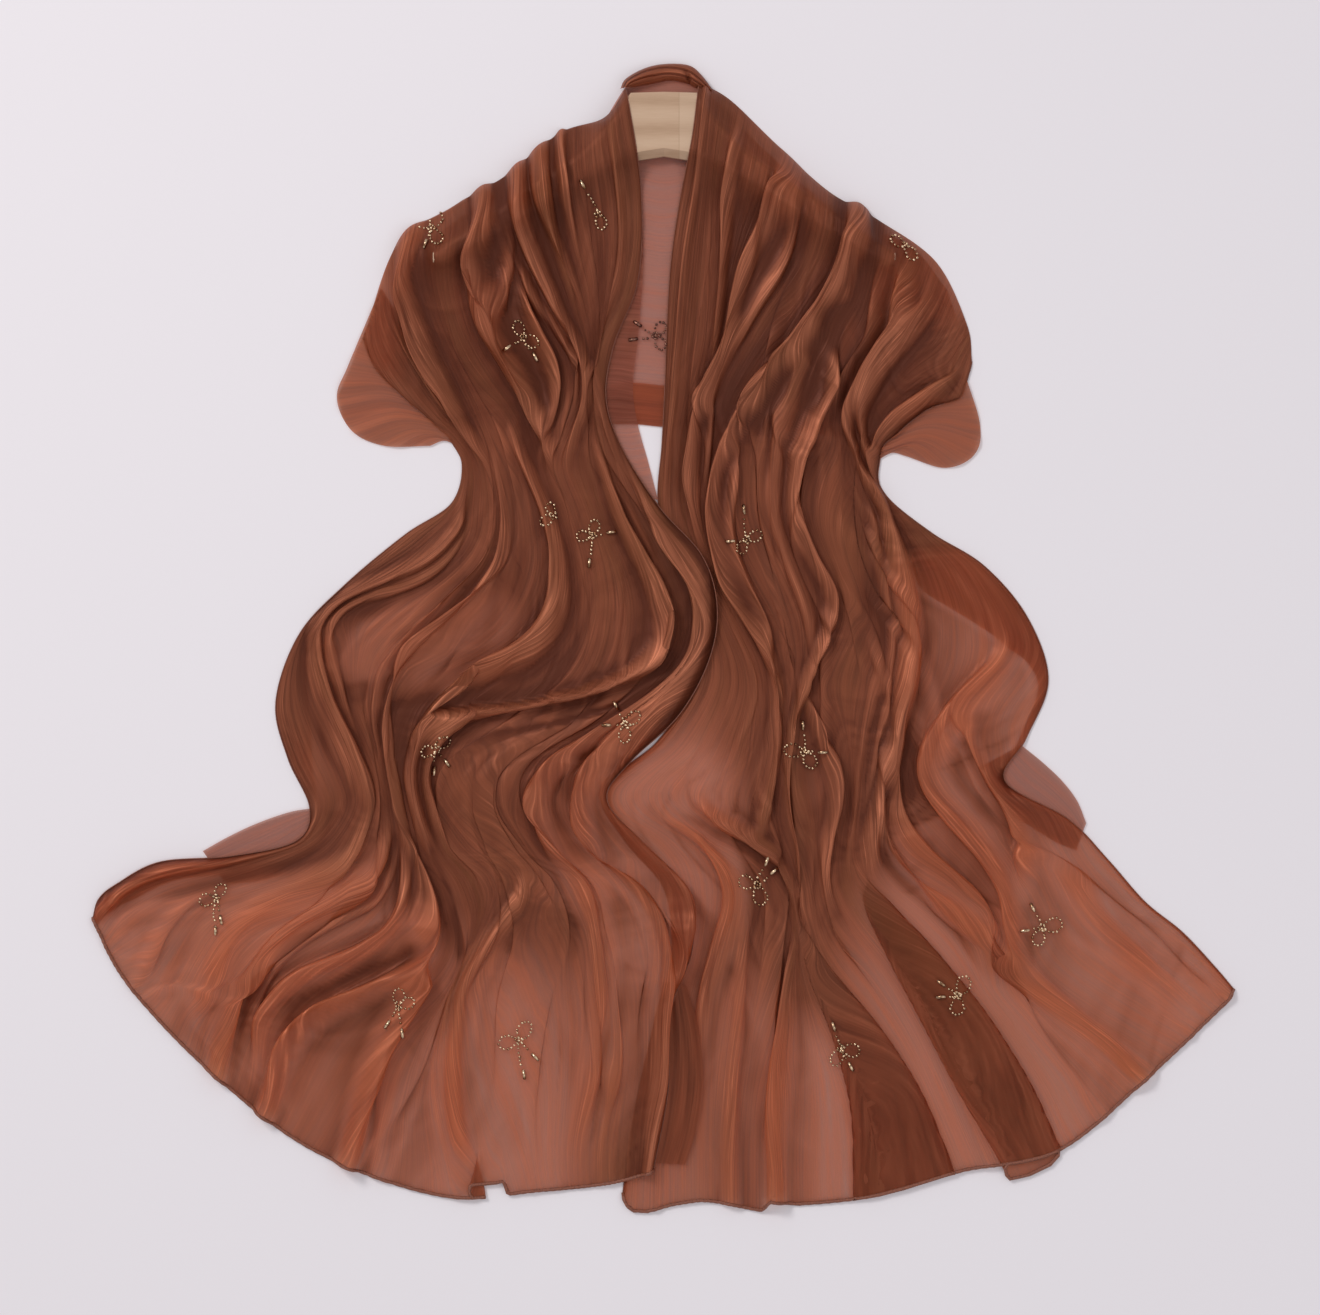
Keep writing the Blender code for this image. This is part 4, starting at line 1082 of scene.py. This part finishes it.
def laid_folds(net, folds, place, narrow, seed):
    """Rise, throw and hollows that the folds give each point, and the threads that they carry.

    The carried threads are a row for each of the net's rows: where each of its wide columns comes from.
    """
    along, last = net.along, net.last
    squares, throw, hollow = (np.zeros(place.shape) for _ in range(3))
    drift, held = (np.zeros((len(along), len(net.wide))) for _ in range(2))
    all_folds, traced = fold_rows(net, folds, seed)
    for number, (height, half_width, lean, aside, sections, columns) in enumerate(all_folds):
        line = line_through(list(zip(sections, columns)), along, CREST_ROUNDING)
        slant = net.steepness(line)
        begin, end = sections[0], sections[-1]
        rise = np.ones_like(along) if begin <= 0.2 else smooth_step((along - begin) / FADE + FIRST_RISE)
        fall = np.ones_like(along) if end >= last - 0.2 else smooth_step((end - along) / FADE + FIRST_RISE)
        live = rise * fall
        near = live > 0.001
        scale = narrow[near] * MILLIMETRE
        uneven = UNEVENNESS * soft_noise(along[near] * 1.7, along[near] * 0 + number, seed)
        vary = live[near, None] * (1 + uneven[:, None])
        away = slant[near, None] * (place[near] - net.distance(line[:, None])[near]) / scale
        away = away - aside + 0.85 * lean
        ridge = np.clip(1 - (away / half_width) ** 2, 0, 1) ** 2 * vary
        if height < 0:
            hollow[near] = np.maximum(hollow[near], -MILLIMETRE * height * ridge)
            continue
        squares[near] += (height * scale ** 0.8 * MILLIMETRE ** 0.2 * ridge) ** 2
        throw[near] += lean * scale * ridge / np.maximum(slant[near, None], 0.6)
        if number < traced:
            hold = np.exp(-((net.wide - line[near, None]) / THREAD_REACH) ** 2) * live[near, None]
            drift[near] += hold * np.gradient(line)[near, None]
            held[near] += hold
    carried = [net.wide]
    for slope in (drift / (held + 0.05))[:-1]:
        moved = np.interp(net.wide - slope, net.wide, carried[-1])
        carried.append(moved + THREADS_EASE * (net.wide - moved))
    return np.clip(np.sqrt(squares) - 0.5 * hollow, 0, None), throw, hollow, carried


def pleated(net, flat, pleats):
    """Columns folded into flat pleats that run to the foot.

    Besides the columns, gives the layers under each, how far the cloth is double there, and how far
    the pleats keep it calm.
    """
    main = flat
    layer, doubled, calm = (np.zeros_like(flat) for _ in range(3))
    for _, upper_side, *edges in pleats:
        left, right = (net.line([(edge[0], edge[k]) for edge in edges]) for k in (1, 2))
        middle, half = (left + right) / 2, (right - left) / 2
        live = smooth_step((net.along - edges[0][0]) / PLEAT_FADE)[:, None]
        t = np.clip((main - middle) / PLEAT_REACH, -1, 1)
        around = np.abs(main - middle) - half - PLEAT_REACH
        calm = np.maximum(calm, smooth_step(1 - around / PLEAT_REACH) * live)
        push = (half + PLEAT_BEND * PLEAT_REACH) * live
        main = main - push * PLEAT_GAIN * t * (1 - t ** 2)
        side = -1 if upper_side == "left" else 1
        away = np.clip(side * (main - middle) / (-2 * PLEAT_REACH) + 1, 0, 1)
        level = np.where(side * t >= PLEAT_BEND, away, 0) + np.where(np.abs(t) < PLEAT_BEND, 0.5, 0)
        layer += level * live
        doubled += np.clip((half - np.abs(main - middle)) / PLEAT_EDGE, 0, 1) * live
    return main, layer, doubled, calm


def small_ripples(place, wide, flow, seed):
    """Low ripples along the threads, narrower where the cloth is gathered."""
    ripple = BROAD_RIPPLE[0]
    for (height, width, changes), noise, wander, draw in (
        (SHARP_RIPPLE, ridged, 3 * soft_noise(flow, place * 9, seed + 4), 1),
        (FINE_RIPPLE, ridged, 0, 2),
        (BROAD_RIPPLE, soft_noise, 0, 5),
    ):
        ripple = ripple + height * noise(place / wide / width + wander, flow * changes, seed + draw)
    return ripple * wide


def painted_crease_shade(place, wide, flow, seed):
    """Long narrow lines of painted crease shade strewn over the front below the chest, from 0 to 1."""
    wander = soft_noise(flow * 0.4, place * 6, seed + 6)
    crease = ridged(place / wide / CREASE_WIDTH + wander, flow * CREASE_CHANGES, seed + 7)
    patchy = np.clip(0.5 + soft_noise(flow * 0.22, place / 0.028, seed + 8), 0, 1)
    return np.clip(4 * crease - 3, 0, 1) * patchy * smooth_step(flow / CREASES_BEGIN - 1)


def front_patch(sections, folds, pleats, bunched, limits, unders, hem_rise, ground, seed):
    """The main sheet of a front: folds that lean over, flat pleats and edges turned under."""
    net = FrontNet(sections)
    along, last = net.along, net.last
    low, high = (net.line(pairs) for pairs in limits)
    under_low, under_high = (net.line(pairs) for pairs in unders)

    # Columns: the edge turned under, the main sheet and the other edge turned under
    flat = low + (high - low) * np.linspace(0, 1, FRONT_COLUMNS)
    main, *states = pleated(net, flat, pleats)
    turn = np.linspace(1, 0, EDGE_COLUMNS, endpoint=False)
    first, final = low + under_low * turn, high - under_high * turn[::-1]
    columns = np.concatenate([first, main, final], axis=1)
    cut = np.concatenate([low + 0 * first, flat, high + 0 * final], axis=1)
    unfolded = np.concatenate([2 * low - first, flat, 2 * high - final], axis=1)
    is_under = np.ones(columns.shape, bool)
    is_under[:, EDGE_COLUMNS:-EDGE_COLUMNS] = False
    layer, doubled, calm = (np.pad(values, ((0, 0), (EDGE_COLUMNS, EDGE_COLUMNS))) for values in states)
    place = net.distance(columns)
    points = across_rows(net.rows, columns)
    sideways = net.across(columns)
    sideways /= np.linalg.norm(sideways, axis=-1)[..., None]

    # Where the columns crowd together the cloth is gathered: folds grow narrow and layers pile up.
    spacing = net.distance(columns + SPACING_REACH) - net.distance(columns - SPACING_REACH)
    spacing /= 2 * SPACING_REACH
    narrow = np.clip(spacing / OPEN_SPACING, *FOLD_SCALES)
    gathered = np.clip((CUT_WIDTH / net.top / spacing - LOOSE_RATIO) / (DENSE_RATIO - LOOSE_RATIO), 0, 1)
    gathered = np.clip(gathered + net.line(bunched) + DOUBLED_DENSITY * doubled, 0, 1)

    # Folds, lower and less thrown near the edges, at the foot and on pleats
    rise, throw, hollow, carried = laid_folds(net, folds, place, narrow, seed)
    from_low = place - net.distance(low)
    from_high = net.distance(high) - place
    to_edge = np.clip(np.minimum(from_low, from_high), 0, None)
    rounded = np.sqrt(1 - (1 - np.clip(to_edge / EDGE_ROUNDING, 0, 1)) ** 2)
    rise *= (0.15 + 0.85 * rounded) * (1 - 0.7 * calm)
    throw *= rounded * (1 - calm) * (1 - 0.8 * smooth_step(along - last + 1.2)[:, None])
    throw *= smooth_step(along / 0.9)[:, None]
    points = points + sideways * throw[..., None]
    # Where a thrown fold crowds or covers the cloth beside it, a narrow line of painted shade runs along
    # its foot.
    crowded = 1 + np.gradient(throw, axis=1) / np.maximum(np.abs(np.gradient(place, axis=1)), 1e-5)
    foot = np.clip(1 - crowded / CROWDED_SHARE, 0, 1) * np.clip(1 - rise / FOOT_HEIGHT, 0, 1) * (1 - calm)
    foot = blurred(foot, 1)

    # Ends drawn up or let down, and gathers that stand out past the shoulder
    onward = np.gradient(points, axis=0)
    onward /= np.linalg.norm(onward, axis=-1)[..., None]
    drawn = np.interp(cut, *zip(*hem_rise)) * MILLIMETRE
    points -= onward * (drawn * smooth_step(along - last + 1)[:, None])[..., None]
    points -= onward * (0.35 * rise * smooth_step(1 - along / 0.45)[:, None])[..., None]

    # Heights, from the cloth below up to the folds and ripples
    past_low = place - net.distance(low + under_low)
    past_high = net.distance(high - under_high) - place
    near_low, near_high = (1 - smooth_step(past / TURN_SLOPE) for past in (past_low, past_high))
    lift = TURN_LIFT * np.maximum(near_low, near_high) * rounded
    flow = np.broadcast_to(along[:, None], columns.shape)
    wide = np.clip(spacing / OPEN_SPACING, *RIPPLE_SCALES)
    ripple = small_ripples(place, wide, flow, seed)
    # Painted crease shade only: these creases are not in the cloth's shape.
    crease = painted_crease_shade(place, wide, flow, seed) * (1 - calm)
    base = heights.at(ground, points)
    z = base + SHEET_LIFT + rise + lift + LAYER_LIFT * layer + ripple * rounded
    z = np.where(is_under, base + UNDER_LIFT + 0.9 * (rise + ripple) * (1 - near_low * near_high), z)
    z = np.where(is_under, np.minimum(z, base + UNDER_LIFT + 0.85 * (rise + ripple * rounded)), z)
    over = z - base - LAYER_LIFT * layer
    relief = sum(share * (over - blurred(over, reach)) for share, reach in zip((0.75, 0.5), RELIEF_REACHES))
    relief *= 1 - calm
    steps = np.linalg.norm(np.diff(np.dstack([points, z]), axis=0), axis=-1)
    down = np.pad(np.cumsum(steps, axis=0), ((1, 0), (0, 0)))
    shoulder = np.sqrt(1 - (1 - np.clip(down / SHOULDER_ROUNDING, 0.02, 1)) ** 2)
    z = np.maximum(z * shoulder, UNDER_LIFT)

    # The threads run with the folds, so they bend where a fold slants over the columns.
    u = np.array([np.interp(at, net.wide, row) for at, row in zip(unfolded, carried)])
    u = CUT_WIDTH / net.top * u + THREAD_WANDER * soft_noise(flow * 0.5, columns * 0.8, seed + 3)
    v = np.concatenate([[0], np.cumsum(steps.mean(1))])
    # Painted shade: deeper in valleys the more the cloth is gathered, and in hollows, painted creases and
    # along the feet of thrown folds. The folds' rise and crests give the fold state, where highlights are
    # painted.
    painted_shade = -relief / VALLEY_RELIEF * (0.42 + 1.05 * gathered) + hollow / HOLLOW_DEPTH
    return {
        "points": np.dstack([points, z]),
        "threads": np.dstack([u, np.broadcast_to(v[:, None], z.shape)]),
        "fold": np.clip(0.5 * rise / FOLD_RELIEF + np.clip(relief / CREST_RELIEF, 0, 1) * 0.8, 0, 1),
        "painted_shade": np.clip(painted_shade + 0.34 * crease + 0.7 * foot, 0, 1),
        "dense": gathered,
    }


def edge_lines(patch):
    """Left edge, right edge and foot of a front's main sheet."""
    main = patch["points"][:, EDGE_COLUMNS:-EDGE_COLUMNS]
    return main[:, 0], main[:, -1], main[-1]


# Beads

def spaced(points):
    """Places for beads, evenly spaced along a line of points."""
    lengths = np.concatenate([[0], np.cumsum(np.linalg.norm(np.diff(points, axis=0), axis=1))])
    count = max(int(round(lengths[-1] / BEAD_STEP)), 1)
    marks = np.linspace(0, lengths[-1], count + 1)[:-1]
    return np.column_stack([np.interp(marks, lengths, points[:, k]) for k in (0, 1)])


def at_angles(centre, reach, angle):
    """Points at a reach and angle from a centre."""
    return centre + np.column_stack([reach * np.cos(angle), reach * np.sin(angle)])


def bow_places(place, size, loops, tails, rng):
    """Places of a bow's beads, and the two ends of each bugle bead.

    A loop leaves the knot and comes back to it.
    """
    centre = plan(place)
    beads, bugles = [], []
    for angle in loops:
        if angle is not None:
            t = np.linspace(0, 1, 80)
            reach = LOOP_LENGTH * (size * rng.uniform(0.92, 1.08)) * np.sin(np.pi * t) ** 0.8
            beads.append(spaced(at_angles(centre, reach, np.radians(angle) + (t - 0.5) * LOOP_SPREAD)))
    knot = np.radians(np.arange(KNOT_BEADS) * 360 / KNOT_BEADS + rng.uniform(0, 360 / KNOT_BEADS))
    beads.append(at_angles(centre, KNOT_RADIUS, knot))
    for tail in tails:
        if tail is not None:
            angle, length = tail
            t = np.linspace(0, 1, 30)
            way = np.radians(angle) + rng.uniform(-0.3, 0.3) * t
            points = at_angles(centre, TAIL_START + length * MILLIMETRE * t, way)
            beads.append(spaced(points))
            end = np.array([np.cos(way[-1]), np.sin(way[-1])])
            start = points[-1] + end * BUGLE_GAP
            bugles.append((start, start + end * BUGLE_LENGTH))
    return np.concatenate(beads), bugles


def surface_under(trees, point):
    """Highest cloth over a plan point, with its normal."""
    best = None
    for tree in trees:
        hit, normal, _, _ = tree.ray_cast(Vector((point[0], point[1], 1.0)), Vector((0, 0, -1)))
        if hit is not None and (best is None or hit.z > best[0].z):
            best = (hit, normal if normal.z > 0 else -normal)
    return best


def add_bugle(shaped, placed, half):
    """A straight tube with a few sides, its rims stepped in and its ends closed flat."""
    inset = BUGLE_RIM / np.cos(np.pi / BUGLE_SIDES)
    step = (inset ** 2 + BUGLE_RIM ** 2) / (2 * inset)
    rim = [
        (BUGLE_RADIUS - inwards, half - back)
        for inwards, back in ((inset, 0), (step, BUGLE_RIM), (0, BUGLE_RIM))]
    profile = [(radius, -height) for radius, height in rim] + rim[::-1]
    turns = np.arange(BUGLE_SIDES) * 2 * np.pi / BUGLE_SIDES
    rings = []
    for radius, height in profile:
        ring = [Vector((radius * np.sin(turn), radius * np.cos(turn), height)) for turn in turns]
        rings.append([shaped.verts.new(placed @ point) for point in ring])
    for lower, upper in zip(rings, rings[1:]):
        for side in range(BUGLE_SIDES):
            after = (side + 1) % BUGLE_SIDES
            shaped.faces.new((lower[side], upper[side], upper[after], lower[after]))
    shaped.faces.new(rings[0])
    shaped.faces.new(rings[-1][::-1])


def beads_object(bow, trees, material, rng):
    """One bow's seed beads and bugle beads, laid on the highest cloth."""
    name, place, size, loops, tails = bow
    beads, bugles = bow_places(place, size, loops, tails, rng)
    shaped = bmesh.new()
    squash = Matrix.Diagonal((1, 1, 0.85, 1))
    for point in beads:
        found = surface_under(trees, point + rng.normal(0, 0.00025, 2))
        if found is None:
            continue
        hit, normal = found
        radius = BEAD_RADIUS * rng.uniform(0.88, 1.12)
        centre = Matrix.Translation(hit + normal * radius * 0.75)
        bmesh.ops.create_icosphere(shaped, subdivisions=2, radius=radius, matrix=centre @ squash)
    for start, end in bugles:
        found = [surface_under(trees, point) for point in (start, end)]
        if None in found:
            continue
        level = max(hit.z for hit, _ in found) + BUGLE_RADIUS * 0.9
        a, b = (Vector((hit.x, hit.y, level)) for hit, _ in found)
        turned = (b - a).to_track_quat("Z", "Y").to_matrix().to_4x4()
        add_bugle(shaped, Matrix.Translation((a + b) / 2) @ turned, (b - a).length / 2)
    mesh = bpy.data.meshes.new(name)
    shaped.to_mesh(mesh)
    shaped.free()
    return new_piece(name, mesh, material)


def finish_piece(piece, slot_name, *nodes):
    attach(piece, "root")
    if nodes:
        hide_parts(*nodes)


set_up_view()
set_up_stage()
heights = HeightMap()
table = np.zeros_like(heights.heights)

sheer = cloth_material(
    "sheer_cloth", (0.270, 0.075, 0.034), (0.495, 0.165, 0.084), (1.0, 0.37, 0.165), 0.255, 0.07)
dull = cloth_material(
    "sheer_reverse", (0.290, 0.105, 0.066), (0.400, 0.140, 0.085), (0.84, 0.33, 0.20), 0.26, 0.12)
rolled = rolled_edge_material()

# Back, with the threads running from side to side
back_patch = simple_sheet(BACK_SECTIONS, (170, 60), LAID_LIFT, table, 11)
back = sheet_object("back_cloth", [back_patch], dull)
heights.add_patch(back_patch)
band_patch = {key: value[53:118, 52:] for key, value in back_patch.items()}
band_patch["points"] = band_patch["points"] + (0, 0, LAID_LIFT)
band = sheet_object("back_turned_hem", [band_patch], sheer)

# Hanger, and the nape's roll over it
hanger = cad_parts["hanger"]
wood = wood_material()
hanger.data.materials.clear()
hanger.data.materials.append(wood)
heights.add_object(hanger)
nape_patch = nape_roll(heights.bridged(3))
nape = sheet_object("nape_cloth", [nape_patch], sheer)
heights.add_patch(nape_patch)

# Strip and flaps
strip_patch = simple_sheet(STRIP_SECTIONS, (120, 20), LAID_LIFT, heights.heights, 31, False)
strip = sheet_object("turned_strip_cloth", [strip_patch], dull)
heights.add_patch(strip_patch)
flaps = []
for name, sections in (("left_flap_cloth", LEFT_FLAP_SECTIONS), ("right_flap_cloth", RIGHT_FLAP_SECTIONS)):
    flap_patch = simple_sheet(sections, (60, 24), FLAP_LIFT, table, 41, dense=0.2)
    flaps.append(sheet_object(name, [flap_patch], dull))
    heights.add_patch(flap_patch)
left_flap, right_flap = flaps

# Right front
right_patch = front_patch(
    RIGHT_SECTIONS, RIGHT_FOLDS, RIGHT_PLEATS, RIGHT_BUNCHED, (RIGHT_OPENING_LIMIT, RIGHT_OUTER_LIMIT),
    (RIGHT_OPENING_UNDER, RIGHT_OUTER_UNDER), RIGHT_HEM_RISE, heights.bridged(BRIDGE_PASSES), 100)
right_wing = simple_sheet(
    RIGHT_WING_SECTIONS, (60, 60), LAID_LIFT, heights.heights, 51, False, WING_RIPPLE, 0.45)
right = sheet_object("right_front_cloth", [right_patch, right_wing], sheer)
heights.add_patch(right_patch)

# Turned corner of the left front, then the left front
corner_patch = simple_sheet(
    CORNER_SECTIONS, (60, 30), CORNER_LIFT, heights.bridged(4), 61, noise=CORNER_LIFT, dense=0.7)
corner = sheet_object("turned_corner_cloth", [corner_patch], sheer)
heights.add_patch(corner_patch)
left_patch = front_patch(
    LEFT_SECTIONS, LEFT_FOLDS, LEFT_PLEATS, LEFT_BUNCHED, (LEFT_OUTER_LIMIT, LEFT_OPENING_LIMIT),
    (LEFT_OUTER_UNDER, LEFT_OPENING_UNDER), LEFT_HEM_RISE, heights.bridged(BRIDGE_PASSES), 200)
left_wing = simple_sheet(LEFT_WING_SECTIONS, (60, 60), LAID_LIFT, table, 71, False, WING_RIPPLE, 0.45)
left = sheet_object("left_front_cloth", [left_patch, left_wing], sheer)

# Rolled ends and long edges
*left_edges, left_foot = edge_lines(left_patch)
*right_edges, right_foot = edge_lines(right_patch)
left_hem = tube_object("left_end_roll", [left_foot], HEM_RADIUS, rolled, lump=HEM_LUMPS)
right_hem = tube_object("right_end_roll", [right_foot], HEM_RADIUS, rolled, lump=HEM_LUMPS)
long_edges = tube_object("long_edge_rolls", left_edges + right_edges, EDGE_RADIUS, rolled, sides=6)

# Beads
gold = bead_material("gold_beads", (0.27, 0.14, 0.07), (0.86, 0.64, 0.42))
bead_backs = bead_material("bead_backs", (0.12, 0.052, 0.038), (0.30, 0.14, 0.10))
trees = [tree_of(piece) for piece in (back, left, right)]
rng = np.random.default_rng(7)
bow_objects = [
    beads_object(bow, trees, bead_backs if bow[0] == SHOWS_ITS_BACK else gold, rng) for bow in BOWS]

finish_piece(back, "sheer_cloth", "back_panel")
finish_piece(band, "sheer_cloth", "back_hem_band")
finish_piece(nape, "sheer_cloth", "nape_roll")
finish_piece(strip, "sheer_cloth", "left_turned_strip")
finish_piece(left_flap, "sheer_cloth", "left_under_flap")
finish_piece(right_flap, "sheer_cloth", "right_under_flap")
finish_piece(right, "sheer_cloth", "right_front")
finish_piece(corner, "sheer_cloth", "left_turned_corner")
finish_piece(left, "sheer_cloth", "left_front")
finish_piece(left_hem, "rolled_edge", "left_end_hem")
finish_piece(right_hem, "rolled_edge", "right_end_hem")
finish_piece(long_edges, "rolled_edge")
for piece in bow_objects:
    finish_piece(piece, "gold_beads")
